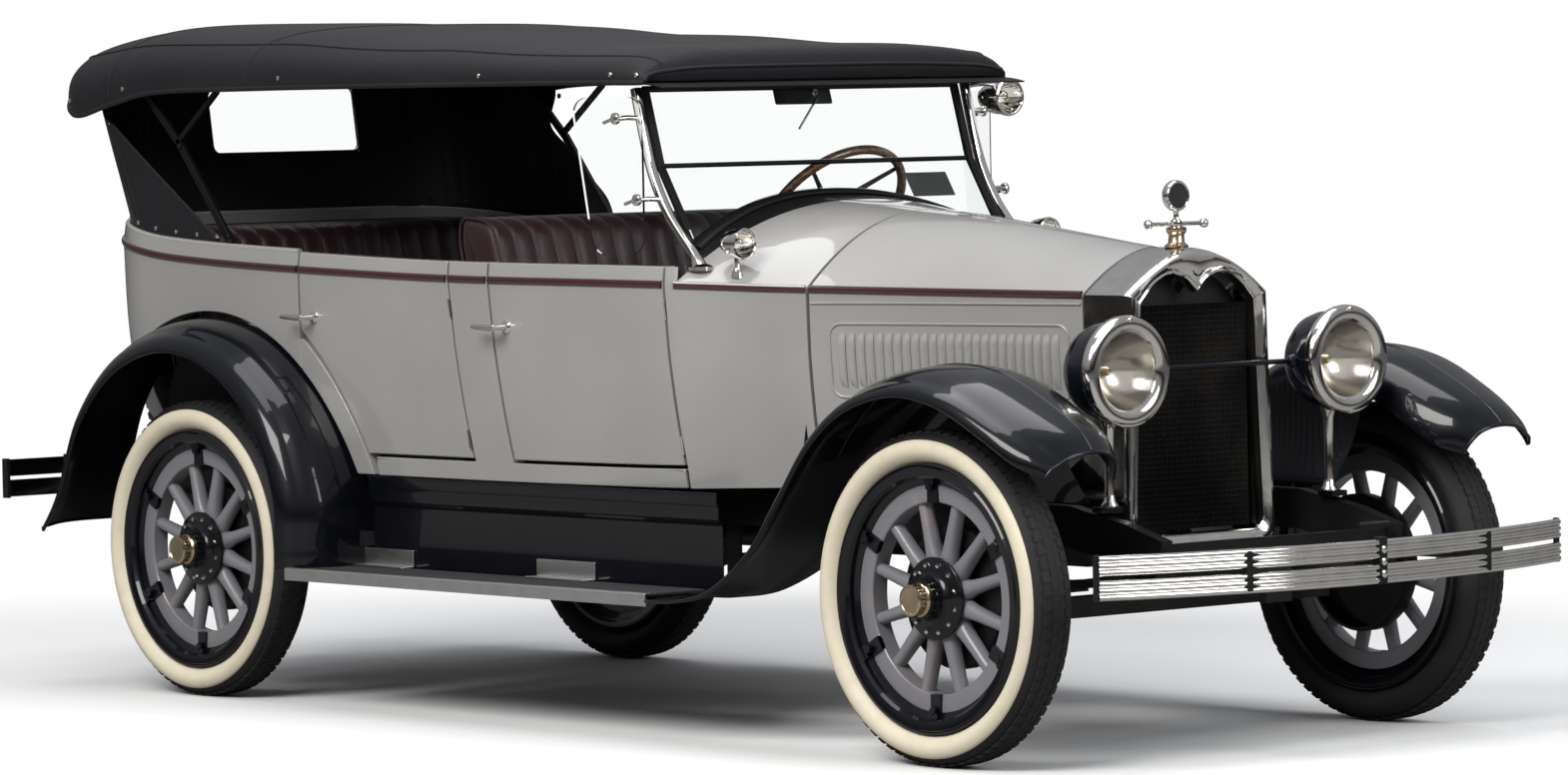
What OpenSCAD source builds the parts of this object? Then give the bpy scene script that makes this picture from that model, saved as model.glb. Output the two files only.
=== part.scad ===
// 1920s five-seat touring car with folding top raised.
// +X points forward, +Y to the car's left, +Z up. The origin is on the ground under the middle of the
// bumper-to-bumper length. All sizes are in millimetres.

/* [Wheels] */
// Distance between the front and rear axles
wheelbase = 2908; // [2850:1:2960]
// Distance between the left and right tyre centres
track = 1422; // [1410:1:1430]
// Outside radius of a tyre
tyre_r = 390; // [380:1:395]
// Width of a tyre's section
tyre_w = 135; // [110:1:140]
// Radius of the wooden felloe's outside
felloe_r = 292; // [285:1:296]
// Number of wooden spokes
spokes = 12; // [10:1:14]

/* [Body] */
// Height of the floor boards' underside
floor_z = 600; // [595:1:605]
// Greatest half width of the body at its belt line
body_half_w = 700; // [690:1:710]
// Thickness of doors and body walls
wall = 42; // [30:1:45]
// Gap around each door and hood half
gap = 8; // [6:1:10]
// Height of the lower edge of the doors
door_low_z = 656; // [650:1:662]
// Length from the hood's front edge to its rear edge
hood_len = 782; // [770:1:790]

/* [Top] */
// Thickness of the top's cloth and padding
top_t = 10; // [8:1:14]

/* [Chassis] */
// Depth of a frame rail
rail_h = 96; // [90:1:98]
// Half distance between the rails' outer faces
rail_y = 395; // [385:1:400]

/* [Hidden] */
$fn = 48;

// Colours of the finishes
grey = [0.62, 0.63, 0.63];
black = [0.07, 0.075, 0.09];
cloth = [0.13, 0.13, 0.14];
nickel = [0.8, 0.78, 0.74];
maroon = [0.33, 0.07, 0.1];
iron = [0.16, 0.16, 0.17];
clear = [0.7, 0.78, 0.8, 0.4];
wood_grey = [0.5, 0.51, 0.54];
rubber = [0.1, 0.1, 0.11];

front_axle_x = 1514;
rear_axle_x = front_axle_x - wheelbase;
wheel_y = track / 2;
radiator_x = 1490;
hood_rear_x = radiator_x - hood_len;
cowl_rear_x = 426;
body_end_x = -1980;

// ---- helpers ---------------------------------------------------------------

// Both sides of the car
module both_sides() {
    children();
    mirror([0, 1, 0]) children();
}

// A closed solid between an outer and an inner grid of points, both rows by columns
module shell(outer, inner) {
    m = len(outer);
    n = len(outer[0]);
    pts = concat([for (r = outer) each r], [for (r = inner) each r]);
    off = m * n;
    function id(i, j) = i * n + j;
    function quad(a, b, c, d) = [[a, c, b], [a, d, c]];
    faces = [
        for (i = [0 : m - 2], j = [0 : n - 2])
            each quad(id(i, j), id(i, j + 1), id(i + 1, j + 1), id(i + 1, j)),
        for (i = [0 : m - 2], j = [0 : n - 2])
            each quad(off + id(i, j), off + id(i + 1, j), off + id(i + 1, j + 1), off + id(i, j + 1)),
        for (i = [0 : m - 2]) each quad(id(i, 0), id(i + 1, 0), off + id(i + 1, 0), off + id(i, 0)),
        for (i = [0 : m - 2])
            each quad(id(i + 1, n - 1), id(i, n - 1), off + id(i, n - 1), off + id(i + 1, n - 1)),
        for (j = [0 : n - 2]) each quad(id(0, j + 1), id(0, j), off + id(0, j), off + id(0, j + 1)),
        for (j = [0 : n - 2])
            each quad(id(m - 1, j), id(m - 1, j + 1), off + id(m - 1, j + 1), off + id(m - 1, j))];
    polyhedron(pts, faces, convexity = 8);
}

function reversed(p) = [for (i = [len(p) - 1 : -1 : 0]) p[i]];

function lerp(a, b, t) = a + (b - a) * t;

// Catmull-Rom value of a table's column k at row position t
function smooth(tab, t, k) =
    let (last = len(tab) - 1, i = min(floor(t), last - 1), f = t - i,
        a = tab[max(i - 1, 0)][k], b = tab[i][k], c = tab[i + 1][k], d = tab[min(i + 2, last)][k])
    b + f / 2 * (c - a + f * (2 * a - 5 * b + 4 * c - d + f * (3 * (b - c) + d - a)));

// A flat bar that follows a line of points, seen from the side, with thickness t
function ribbon(p, t) =
    let (n = len(p),
        dir = [for (i = [0 : n - 1]) let (d = p[min(i + 1, n - 1)] - p[max(i - 1, 0)]) d / norm(d)])
    concat([for (i = [0 : n - 1]) p[i] + t / 2 * [-dir[i][1], dir[i][0]]],
        [for (i = [n - 1 : -1 : 0]) p[i] - t / 2 * [-dir[i][1], dir[i][0]]]);

// Extrudes a side view (x, z) across y0 to y1
module side_view(y0, y1) {
    translate([0, y1, 0]) rotate([90, 0, 0]) linear_extrude(y1 - y0) children();
}

module box(lo, hi) { translate(lo) cube(hi - lo); }

// A round bar between two points
module rod(a, b, r) {
    d = b - a;
    translate(a) rotate([0, acos(d[2] / norm(d)), atan2(d[1], d[0])]) cylinder(h = norm(d), r = r);
}

// ---- body surface ----------------------------------------------------------

// Half width of the body at its belt, against x
BELT_W = [[-1980, 400], [-1700, body_half_w - 4], [-1300, body_half_w], [-300, body_half_w],
    [100, 680], [cowl_rear_x, 630], [560, 528], [hood_rear_x, 412], [radiator_x, 228]];
// Height of the belt line, against x
BELT_Z = [[-2000, 1222], [-1800, 1190], [-1600, 1160], [-1340, 1143], [-980, 1128], [-350, 1110],
    [400, 1100], [hood_rear_x, 1084], [radiator_x, 1072]];
// How much the body narrows from the belt down to the sill, against the share of the way down
TUMBLE = [[0, 0], [0.3, 4], [0.6, 16], [1, 44]];
function belt_w(x) = lookup(x, BELT_W);
function belt_z(x) = lookup(x, BELT_Z);
function side_y(x, z) =
    let (s = (belt_z(x) - z) / (belt_z(x) - floor_z))
    belt_w(x) - (s >= 0 ? lookup(min(s, 1), TUMBLE) : -s * 60);

// Height of the body's upper edge, and the leaning line of a door's edge
function rim_z(x) = belt_z(x) + 44;
function lean(x_top, x_low, z) = x_top + (x_low - x_top) * min(max((1110 - z) / 454, 0), 1);

// Side wall on the right between the edge lines aft(z) and fore(z), its rear edge bevelled inwards
module side_patch(aft, fore, low, high, rows, cols, bevel = 0) {
    function z_at(i, x) = low + (min(high, rim_z(x)) - low) * i / rows;
    function x_at(i, j) = let (z = z_at(i, aft(low))) lerp(aft(z), fore(z), j / cols);
    outer = [for (i = [0 : rows]) [for (j = [0 : cols])
        let (x = x_at(i, j), z = z_at(i, x)) [x, -side_y(x, z), z]]];
    inner = [for (r = outer) [for (j = [0 : cols]) r[j] + [bevel * (1 - j / cols), wall, 0]]];
    shell(outer, inner);
}

// ---- doors -----------------------------------------------------------------

// x of the rear door's rear edge: straight above, an arc round the wheel below
arch_r = 700;
function arch_x(z) = rear_axle_x + sqrt(arch_r * arch_r - (z - tyre_r) * (z - tyre_r));
rear_door_aft = -985;
rear_aft = function(z) max(rear_door_aft, arch_x(z));
rear_fore = function(z) lean(-358, -308, z);
front_aft = function(z) lean(-190, -144, z);
front_fore = function(z) lean(416, 438, z);
// A door's hinge line lies in the seam, flush with the leaning side:
// a point near the top and one near the foot
hinge_r = 3.4;
pin_r = 1.9;
HINGE_Z = [705, 1035];
hinge_h = 46;
rear_hinge = [[-349.9, -700, 1060], [-313.5, -675.5, 730]];
front_hinge = [[421, -631, 1060], [437, -597, 730]];
function on_line(p, z) = p[0] + (p[1] - p[0]) * (p[0][2] - z) / (p[0][2] - p[1][2]);

// The door's half of its hinges: barrels along its front edge
module hinge_barrels(p) {
    for (z = HINGE_Z) difference() {
        rod(on_line(p, z), on_line(p, z + hinge_h), hinge_r);
        rod(on_line(p, z - 2), on_line(p, z + hinge_h + 2), pin_r + 0.3);
    }
}
// The body's half: a pin through each barrel, held by a lug at both ends
module hinge_pins(p) {
    for (z = HINGE_Z) {
        rod(on_line(p, z - 8), on_line(p, z + hinge_h + 8), pin_r);
        for (h = [z - 9, z + hinge_h + 1]) {
            q = on_line(p, h + 4);
            rod(on_line(p, h), on_line(p, h + 8), pin_r + 0.4);
            box(q + [0, -2, -4], q + [12, 12, 4]);
        }
    }
}

module door_handle(x, z) {
    y = side_y(x, z);
    translate([x, -y + 4, z]) rotate([90, 0, 0]) cylinder(h = 46, r = 7);
    translate([x + 12, -y - 42, z]) rotate([0, -90, 0]) cylinder(h = 88, r = 7);
}

module rear_door() {
    side_patch(rear_aft, rear_fore, door_low_z, 1300, 10, 5, 10);
    hinge_barrels(rear_hinge);
    door_handle(-925, 1005);
}

module front_door() {
    side_patch(front_aft, front_fore, door_low_z, 1300, 10, 7, 10);
    hinge_barrels(front_hinge);
    door_handle(-125, 990);
}

module rear_door_right() color(grey) rear_door();
module rear_door_left() color(grey) mirror([0, 1, 0]) rear_door();
module front_door_right() color(grey) front_door();
module front_door_left() color(grey) mirror([0, 1, 0]) front_door();

// ---- cowl and hood ---------------------------------------------------------

// Cross-section of hood and cowl at x: from the sill up to the belt and over the crown
CROWN = [[cowl_rear_x, 196], [hood_rear_x, 184], [radiator_x, 106]];
CROWN_POWER = [[hood_rear_x, 2.2], [radiator_x, 1.75]];
function crown_z(x, y) =
    belt_z(x) + lookup(x, CROWN) * (1 - pow(min(abs(y) / belt_w(x), 1), lookup(x, CROWN_POWER)));

// Points of the section from the belt on the right over to the belt on the left
function over(x, w_in, n) = [for (i = [0 : n])
    let (w = belt_w(x), y = -cos(180 * i / n) * (w - w_in))
    [x, y, crown_z(x, y * w / (w - w_in)) - w_in]];
function up_side(x, w_in, low) = [for (i = [0 : 3])
    let (z = low + (belt_z(x) - w_in - low) * i / 4)
    [x, -side_y(x, z) + w_in, z]];
function flipped(p) = [for (i = [len(p) - 1 : -1 : 0]) [p[i][0], -p[i][1], p[i][2]]];
function section(x, w_in, low, n) =
    concat(up_side(x, w_in, low), over(x, w_in, n), flipped(up_side(x, w_in, low)));

cowl_t = 30;
module cowl() color(grey) {
    xs = [for (i = [0 : 4]) lerp(cowl_rear_x + 20, hood_rear_x - gap, i / 4)];
    shell([for (x = xs) reversed(section(x, 0, floor_z, 16))],
        [for (x = xs) reversed(section(x, cowl_t, floor_z, 16))]);
    firewall();
    both_sides() hinge_pins(front_hinge);
    both_sides() side_patch(function(z) front_fore(z) + gap, function(z) cowl_rear_x + 21, floor_z + 1,
        belt_z(cowl_rear_x), 8, 1);
    rod(hood_axis(hood_rear_x - gap - 4), hood_axis(radiator_x - 0.4), 2.5);
}
module firewall() {
    x = hood_rear_x - 40;
    w = belt_w(x) - cowl_t - 12;
    translate([x, 0, 0]) rotate([90, 0, 90]) linear_extrude(14)
        polygon(concat([[-w, floor_z + 30], [w, floor_z + 30]],
            [for (i = [0 : 12]) let (a = 180 * i / 12) [w * cos(a), belt_z(x) - 30 + 160 * sin(a)]]));
}

// A point of the hood's hinge line, along the crown of cowl and radiator
function hood_axis(x) =
    [x, 0, lerp(crown_z(hood_rear_x, 0), crown_z(radiator_x, 0), (x - hood_rear_x) / hood_len)];

hood_t = 8;
hood_low_z = 722;
module hood_half() {
    xs = [for (i = [0 : 4]) lerp(hood_rear_x, radiator_x - gap, i / 4)];
    function half(x, t) = [for (p = section(x, t, hood_low_z, 16)) if (p[1] < -1) p];
    function to_centre(x, t) = concat(half(x, t), [[x, -3, crown_z(x, 0) - t]]);
    shell([for (x = xs) reversed(to_centre(x, 0))], [for (x = xs) reversed(to_centre(x, hood_t))]);
}
module hood_right() color(grey) hood_half();
module hood_left() color(grey) mirror([0, 1, 0]) hood_half();

// ---- radiator --------------------------------------------------------------

shell_depth = 152;
shell_low_z = 470;
// Front outline of the radiator shell, right half: y, z
function shell_top(y, grow) =
    1072 + grow + 106 * (1 - pow(min(abs(y) / 228, 1), 1.75));
function shell_outline(grow) =
    let (w = 232 + grow, top = [for (i = [0 : 14])
        let (y = w * cos(180 * i / 14))
        [y, shell_top(y * 228 / w, grow)]])
    concat([[-w - 14, shell_low_z - grow], [w + 14, shell_low_z - grow]], top);
module front_view(x0, x1) translate([x0, 0, 0]) rotate([90, 0, 90]) linear_extrude(x1 - x0) children();

// Opening of the shell, with two lobes that meet in a point at the top
function opening_top(y) = shell_top(y * 228 / 196, -34) - 26 * pow(1 - min(abs(y) / 60, 1), 2);
function shell_opening() = concat([[-206, shell_low_z + 34], [206, shell_low_z + 34]],
    [for (i = [0 : 20]) let (y = 196 * cos(180 * i / 20)) [y, opening_top(y)]]);

module radiator_shell() color(nickel) {
    front_view(radiator_x, radiator_x + shell_depth) difference() {
        polygon(shell_outline(0));
        polygon(shell_opening());
    }
}
module radiator_core() color(black) {
    front_view(radiator_x + 20, radiator_x + shell_depth - 34)
        polygon(concat([[-204, shell_low_z + 36], [204, shell_low_z + 36]],
            [for (i = [0 : 20]) let (y = 194 * cos(180 * i / 20)) [y, opening_top(y) - 2]]));
}
cap_x = radiator_x + shell_depth / 2;
module radiator_cap() color(nickel) {
    translate([cap_x, 0, 1178.3]) cylinder(h = 38, r = 24);
    translate([cap_x, 0, 1212]) cylinder(h = 16, r = 17);
    translate([cap_x, 0, 1226]) rotate([90, 0, 0]) translate([0, 0, -62]) cylinder(h = 124, r = 5);
    for (s = [-1, 1]) translate([cap_x, 62 * s, 1226]) sphere(r = 9);
    translate([cap_x, 0, 1228]) cylinder(h = 30, r = 6);
    translate([cap_x - 12, 0, 1290]) rotate([0, 90, 0]) cylinder(h = 24, r = 34);
}

// ---- dashboard, floor, seats -----------------------------------------------

module dashboard() color(iron) {
    x = cowl_rear_x + 34;
    front_view(x, x + 16)
        polygon([for (i = [0 : 16]) let (a = 180 * i / 16) [500 * cos(a), 1040 + 205 * sin(a)]]);
}

toe_x = 560;
// Right edge of the floor in plan
FLOOR_EDGE = [[-1836, -396], [-1806, -526], [-1740, -570], [-1700, -576], [-1000, -578], [-770, -600],
    [100, -590], [430, -535], [toe_x, -425]];
function other_side(p) = [for (q = reversed(p)) [q[0], -q[1]]];
module body_floor() color(iron) {
    translate([0, 0, floor_z]) linear_extrude(22) polygon(concat(FLOOR_EDGE, other_side(FLOOR_EDGE)));
    side_view(-330, 330) polygon(ribbon([[toe_x - 60, floor_z + 10], [hood_rear_x - 58, 780]], 16));
    both_sides() side_view(-592, -576) polygon(wheelhouse_outline());
}
// Posts between the doors, the sills below them, and the rear doors' hinge pins
module door_posts() color(grey) both_sides() {
    side_patch(function(z) rear_fore(z) + gap, function(z) front_aft(z) - gap,
        door_low_z - gap - 2, 1300, 8, 2);
    sill();
    hinge_pins(rear_hinge);
}
module sill() {
    xs = [for (i = [0 : 6]) lerp(-716, cowl_rear_x + 12, i / 6)];
    function row(z, d) = [for (x = xs) [x, -side_y(x, z) + d, z]];
    shell([row(floor_z, 0), row(door_low_z - gap - 1, 0)],
        [row(floor_z, wall), row(door_low_z - gap - 1, wall)]);
}
function wheelhouse_outline() = let (a0 = asin((floor_z + 4 - tyre_r) / 560))
    [for (i = [0 : 12])
        let (a = lerp(a0, 180 - a0, i / 12))
        [max(rear_axle_x + 560 * cos(a), -1735), tyre_r + 560 * sin(a)]];

module seat(back_x, front_x, half_w, top_z, cushion_z, base_z) {
    box([back_x, -half_w, base_z], [front_x - 30, half_w, cushion_z - 160]);
    side_view(-half_w, half_w) {
        translate([back_x + 40, cushion_z - 150]) square([front_x - back_x - 40, 150]);
        polygon([[back_x + 40, cushion_z - 160], [back_x + 190, cushion_z - 160], [back_x + 60, top_z - 20],
            [back_x + 20, top_z], [back_x - 60, top_z], [back_x - 70, top_z - 30]]);
    }
}
module front_seat() color(maroon) seat(-420, 90, 560, 1262, 930, floor_z + 24);
module rear_seat() color(maroon) seat(-1760, -1190, 575, 1235, 940, floor_z + 24);

// ---- rear body -------------------------------------------------------------

corner_r = 300;
// Outline of the rear body in plan: arc length runs from the right door edge round to the left
function plan_pt(k, inset) =
    let (w = body_half_w - inset, xr = body_end_x + inset, r = corner_r - inset)
    k < 4 ? [lerp(rear_door_aft - gap, body_end_x + corner_r, k / 4), -w]
    : k <= 10 ? let (a = 90 * (k - 4) / 6)
        [body_end_x + corner_r - r * sin(a), -(body_half_w - corner_r) - r * cos(a)]
    : [xr, lerp(-(body_half_w - corner_r), body_half_w - corner_r, (k - 10) / 6)];
// Height of the rear body's lower edge, cut round the wheel
house_r = 624;
function low_z(x) =
    let (d = abs(x - rear_axle_x))
    d < house_r ? max(floor_z, tyre_r + sqrt(house_r * house_r - d * d)) : floor_z;
function body_pt(k, i, inset) =
    let (kk = k <= 13 ? k : 26 - k, side = k <= 13 ? 1 : -1, x0 = plan_pt(kk, 0)[0],
        z = lerp(low_z(x0), rim_z(x0), i / 8), share = (belt_z(x0) - z) / (belt_z(x0) - floor_z),
        round = 1 + 1.2 * min(max((kk - 4) / 6, 0), 1),
        tuck = share >= 0 ? lookup(min(share, 1), TUMBLE) : -share * 60,
        p = plan_pt(kk, inset + tuck * round))
    [p[0], side * p[1], z];
module rear_body() color(grey) {
    shell([for (i = [0 : 8]) [for (k = [26 : -1 : 0]) body_pt(k, i, 0)]],
        [for (i = [0 : 8]) [for (k = [26 : -1 : 0]) body_pt(k, i, wall)]]);
    both_sides() side_patch(
        function(z)
            max(rear_axle_x + sqrt(house_r * house_r - (z - tyre_r) * (z - tyre_r)), rear_door_aft - gap - 2),
        function(z) arch_x(z) - gap, floor_z + 1, 948, 8, 2);
}

// ---- windshield ------------------------------------------------------------

POST = [[452, 1135], [428, 1172], [385, 1215], [335, 1270], [296, 1330], [270, 1386], [250, 1450],
    [228, 1530], [216, 1578]];
function post_x(z) = lookup(z, [for (p = POST) [p[1], p[0]]]);
post_y = 545;
post_w = 24;
pane_mid = [273, 1386];
pane_top = [217, 1576];
pane_low = [392, 1200];
module windshield_posts() color(nickel) both_sides() {
    side_view(-post_y - post_w / 2, -post_y + post_w / 2) polygon(ribbon([for (p = POST) p + [6, 0]], 24));
    for (z = [1255, 1500]) rod([post_x(z), -post_y, z], [post_x(z) - 40, -post_y - 32, z], 7);
}
frame_w = 505;
module slab(a, b, y0, y1, t) side_view(y0, y1) polygon(ribbon([a, b], t));
module windshield_frame() color(black) {
    for (p = [pane_top, pane_mid]) side_view(-frame_w - 8, frame_w + 8) translate(p) circle(r = 8);
    both_sides() side_view(-frame_w - 18, -frame_w)
        polygon(ribbon([pane_low, pane_mid, pane_top + [-3, 10]], 18));
    filler();
}
// Black filler between the cowl's crown and the lower pane
module filler() {
    n = 14;
    function pt(i, k, t) = let (y = lerp(-frame_w - 5, frame_w + 5, i / n),
        z0 = crown_z(cowl_rear_x, y) + 2,
        xp = lerp(pane_low[0], pane_mid[0], (z0 + 12 - pane_low[1]) / (pane_mid[1] - pane_low[1])))
        [lerp(cowl_rear_x + 18, xp - 6, k), y, z0 + lerp(0, 14, k) + t];
    shell([for (k = [0, 1]) [for (i = [0 : n]) pt(i, k, 10)]],
        [for (k = [0, 1]) [for (i = [0 : n]) pt(i, k, 0)]]);
}

glass_t = 6;
module glass_panes() color(clear) {
    slab(pane_top + [1, -11], pane_mid + [-1, 11], -frame_w + 2, frame_w - 2, glass_t);
    lower_pane();
    both_sides() wind_wing();
    rear_window();
}
module lower_pane() {
    n = 14;
    d = [pane_mid[0] - pane_low[0], pane_mid[1] - pane_low[1]];
    nrm = [d[1], -d[0]] / norm(d) * glass_t / 2;
    function at(z, s) =
        let (f = (z - pane_low[1]) / d[1])
        [pane_low[0] + d[0] * f + s * nrm[0], z + s * nrm[1]];
    function pt(i, k, s) = let (y = lerp(-frame_w + 2, frame_w - 2, i / n), z0 = crown_z(cowl_rear_x, y) + 30,
        q = at(lerp(z0, pane_mid[1] - 11, k), s)) [q[0], y, q[1]];
    shell([for (k = [0, 1]) [for (i = [0 : n]) pt(i, k, 1)]],
        [for (k = [0, 1]) [for (i = [0 : n]) pt(i, k, -1)]]);
}
wing_fore = [285, -574];
wing_aft = [92, -640];
module wind_wing() {
    translate([0, 0, 1168]) linear_extrude(390) polygon(ribbon([wing_fore, wing_aft], glass_t));
}

// ---- top -------------------------------------------------------------------

// Stations of the top: x, half width, height of the side edge, height of the crown
TOP = [[-2072, 560, 1622, 1626], [-2088, 606, 1612, 1664], [-2080, 650, 1584, 1712],
    [-2034, 688, 1552, 1750],
    [-1960, 702, 1536, 1768], [-1800, 708, 1566, 1778], [-1600, 706, 1594, 1776], [-1200, 700, 1598, 1765],
    [-700, 690, 1598, 1735], [-200, 668, 1596, 1708], [150, 630, 1594, 1690], [270, 612, 1592, 1681],
    [308, 600, 1592, 1664], [322, 594, 1594, 1630], [318, 588, 1596, 1600]];
function top_pt(row, j, t) =
    let (a = 180 * j / 20, c = cos(a), s = sin(a), w = row[1] - t,
        y = -w * (abs(c) < 0.001 ? 0 : sign(c) * pow(abs(c), 0.55)),
        rise = max(row[3] - t - row[2], 1))
    [row[0] + (row[0] < -2040 ? t : row[0] > 300 ? -t : 0), y, row[2] + rise * pow(s, 0.62)];
module canopy() color(cloth) {
    shell([for (r = TOP) [for (j = [20 : -1 : 0]) top_pt(r, j, 0)]],
        [for (r = TOP) [for (j = [20 : -1 : 0]) top_pt(r, j, top_t)]]);
    visor();
}
module visor() color(black) box([322, -600, 1584], [392, 600, 1590]);

// Bows: x, z of the crown, half width
BOWS = [[240, 1662, 572], [-420, 1696, 642], [-1080, 1732, 660], [-1780, 1748, 666]];
pivot = [-1345, 1196];
bow_y = 660;
module top_bows() color(iron) {
    for (b = BOWS) front_view(b[0] - 14, b[0] + 14) polygon(bow_outline(b[2], b[1] - 16));
    both_sides() {
        side_view(-bow_y, -bow_y + 14) polygon(ribbon([pivot, [-1560, 1450], [-1770, 1640]], 24));
        side_view(-bow_y, -bow_y + 14) polygon(ribbon([[-1572, 1461], [-1395, 1592]], 16));
        rod([-1088, -640, 1608], [-410, -634, 1608], 6);
        rod([-420, -634, 1608], [236, -570, 1606], 6);
    }
}
function bow_arc(w, z) = [for (i = [0 : 16])
    let (a = 180 * i / 16, c = cos(a))
    [w * sign(c) * pow(abs(c), 0.55), 1600 + (z - 1600) * pow(sin(a), 0.62)]];
function bow_outline(w, z) = concat(bow_arc(w, z), reversed(bow_arc(w - 22, z - 24)));

// Rear curtain with its window, running round to the three-cornered quarter curtains
// Each column: x and y on the body's edge, then x, y and z on the top's edge
CURTAIN = [[-1372, 676, -1378, 676, 1204], [-1450, 676, -1480, 674, 1268], [-1530, 676, -1600, 672, 1342],
    [-1610, 676, -1720, 668, 1416], [-1680, 678, -1830, 664, 1486], [-1752, 668, -1915, 655, 1538],
    [-1819, 640, -1966, 636, 1590], [-1877, 597, -1996, 596, 1632], [-1920, 539, -2010, 540, 1645],
    [-1948, 472, -2016, 470, 1652], [-1958, 400, -2020, 390, 1655], [-1958, 130, -2020, 130, 1655]];
// Upper ends of the left side's first columns, which reach further forward
LEFT_TOP = [[-1378, 676, 1204], [-1410, 676, 1275], [-1490, 676, 1342], [-1577, 676, 1416],
    [-1660, 676, 1486], [-1640, 676, 1588], [-1780, 668, 1594]];
curtain_t = 6;
function curtain_pt(m, f, t) =
    let (last = len(CURTAIN) - 1, k = m <= last ? m : 2 * last + 1 - m, side = m <= last ? -1 : 1,
        c = CURTAIN[k], top = side > 0 && k < 7 ? LEFT_TOP[k] : [c[2], c[3], c[4]],
        a = min(max((k - 4) / 6, 0), 1) * 90, z0 = rim_z(c[0]) + 8)
    [lerp(c[0], top[0], f) + t * sin(a), side * (lerp(c[1], top[1], f) - t * cos(a)), lerp(z0, top[2], f)];
window_z = [1422, 1604];
window_w = 250;
module rear_curtain() color(cloth) difference() {
    shell([for (f = [0 : 0.25 : 1]) [for (m = [23 : -1 : 0]) curtain_pt(m, f, 0)]],
        [for (f = [0 : 0.25 : 1]) [for (m = [23 : -1 : 0]) curtain_pt(m, f, curtain_t)]]);
    box([-2100, -window_w, window_z[0]], [-1900, window_w, window_z[1]]);
}
function curtain_x(z) =
    lerp(CURTAIN[11][0], CURTAIN[11][2], (z - rim_z(-1958) - 8) / (1655 - rim_z(-1958) - 8));
module rear_window() side_view(-window_w + 2, window_w - 2)
    polygon(ribbon([for (z = [window_z[0] + 2, window_z[1] - 2]) [curtain_x(z) + curtain_t / 2, z]], 3));

// ---- fenders, running boards, aprons ---------------------------------------

// Front fender's outer lip from the running board forward: x, z, crown rise, inner y, outer y
FRONT_FENDER = [[600, 352, 4, 660, 858], [700, 356, 6, 650, 858], [830, 386, 16, 610, 858],
    [975, 482, 28, 560, 858], [1090, 620, 38, 520, 858], [1200, 752, 44, 506, 858],
    [1330, 840, 46, 502, 858], [1500, 880, 46, 502, 858], [1660, 860, 50, 504, 856],
    [1800, 795, 56, 512, 846], [1900, 735, 60, 530, 828], [1960, 700, 44, 570, 790]];
fender_t = 5;
// Profile across a fender: share of the way from inner edge to outer lip, share of the crown rise
FRONT_PROFILE = [[0, -0.7], [0.05, 0.1], [0.16, 0.7], [0.34, 0.98], [0.52, 1.0], [0.7, 0.85], [0.86, 0.5],
    [0.96, 0.15], [1, -0.35]];
REAR_PROFILE = [[0, 1.0], [0.2, 1.0], [0.4, 0.98], [0.6, 0.88], [0.78, 0.66], [0.92, 0.3], [1, -0.35]];
function fender_pt(tab, prof, t, j, drop) =
    let (last = len(tab) - 1, e = 0.02, t0 = max(t - e, 0), t1 = min(t + e, last),
        d = [smooth(tab, t1, 0) - smooth(tab, t0, 0), smooth(tab, t1, 1) - smooth(tab, t0, 1)],
        n = [-d[1], d[0]] / norm(d),
        p = prof[j], h = p[1] * smooth(tab, t, 2) - drop)
    [smooth(tab, t, 0) + n[0] * h, -lerp(smooth(tab, t, 3), smooth(tab, t, 4), p[0]),
        smooth(tab, t, 1) + n[1] * h];
module fender(tab, prof, steps) {
    last = len(tab) - 1;
    cols = len(prof) - 1;
    ts = [for (i = [0 : steps]) last * i / steps];
    shell([for (t = ts) [for (j = [0 : cols]) fender_pt(tab, prof, t, j, 0)]],
        [for (t = ts) [for (j = [0 : cols]) fender_pt(tab, prof, t, j, fender_t)]]);
}
module front_fenders() color(black) both_sides() {
    fender(FRONT_FENDER, FRONT_PROFILE, 24);
    inner_skirt();
}
// Skirt from the fender's inner edge to the frame rail's top
module inner_skirt() {
    ts = [for (i = [0 : 12]) 3.4 + 4.8 * i / 12];
    function edge(t, d) = fender_pt(FRONT_FENDER, FRONT_PROFILE, t, 0, 0) + [0, d, 0];
    shell([for (t = ts) [[edge(t, 0)[0], -rail_y - 4, 599], edge(t, 0)]],
        [for (t = ts) [[edge(t, 0)[0], -rail_y - 4, 594], edge(t, 0) + [0, 0, -5]]]);
}

// Rear fender's outer lip from its tail forward round the wheel: angle about the axle, radius
REAR_ARC = [[178, 556, 26], [165, 520, 40], [140, 524, 54], [115, 538, 60], [90, 548, 62],
    [65, 552, 64], [40, 552, 66],
    [18, 540, 68], [2, 520, 70], [-2.2, 520, 70]];
REAR_FENDER = [for (i = [0 : len(REAR_ARC) - 1]) let (r = REAR_ARC[i], s = i == 0 ? 20 : 0)
    [rear_axle_x + r[1] * cos(r[0]) - s, tyre_r + r[1] * sin(r[0]) + s, r[2], 596, 858]];
module rear_fenders() color(black) both_sides() fender(REAR_FENDER, REAR_PROFILE, 20);

board = [-860, 604];
board_z = 366;
module running_boards() color(iron) both_sides() {
    box([-796, -856, board_z - 30], [board[1] - 6, -636, board_z]);
    box([board[0], -856, board_z - 30], [-790, -636, board_z - 6]);
    for (x = [-560, 330]) box([x, -640, board_z - 30], [x + 50, -330, board_z - 23]);
}
// Splash apron, seen from behind: y, z
APRON = [[-634, 345], [-634, 520], [-646, 530], [-646, 560], [-652, 596]];
module splash_aprons() color(black) both_sides() {
    translate([-770, 0, 0]) rotate([90, 0, 90]) linear_extrude(1400)
        polygon(concat(APRON, [for (i = [len(APRON) - 1 : -1 : 0]) APRON[i] + [6, 0]]));
    hood_ledge();
}
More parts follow.
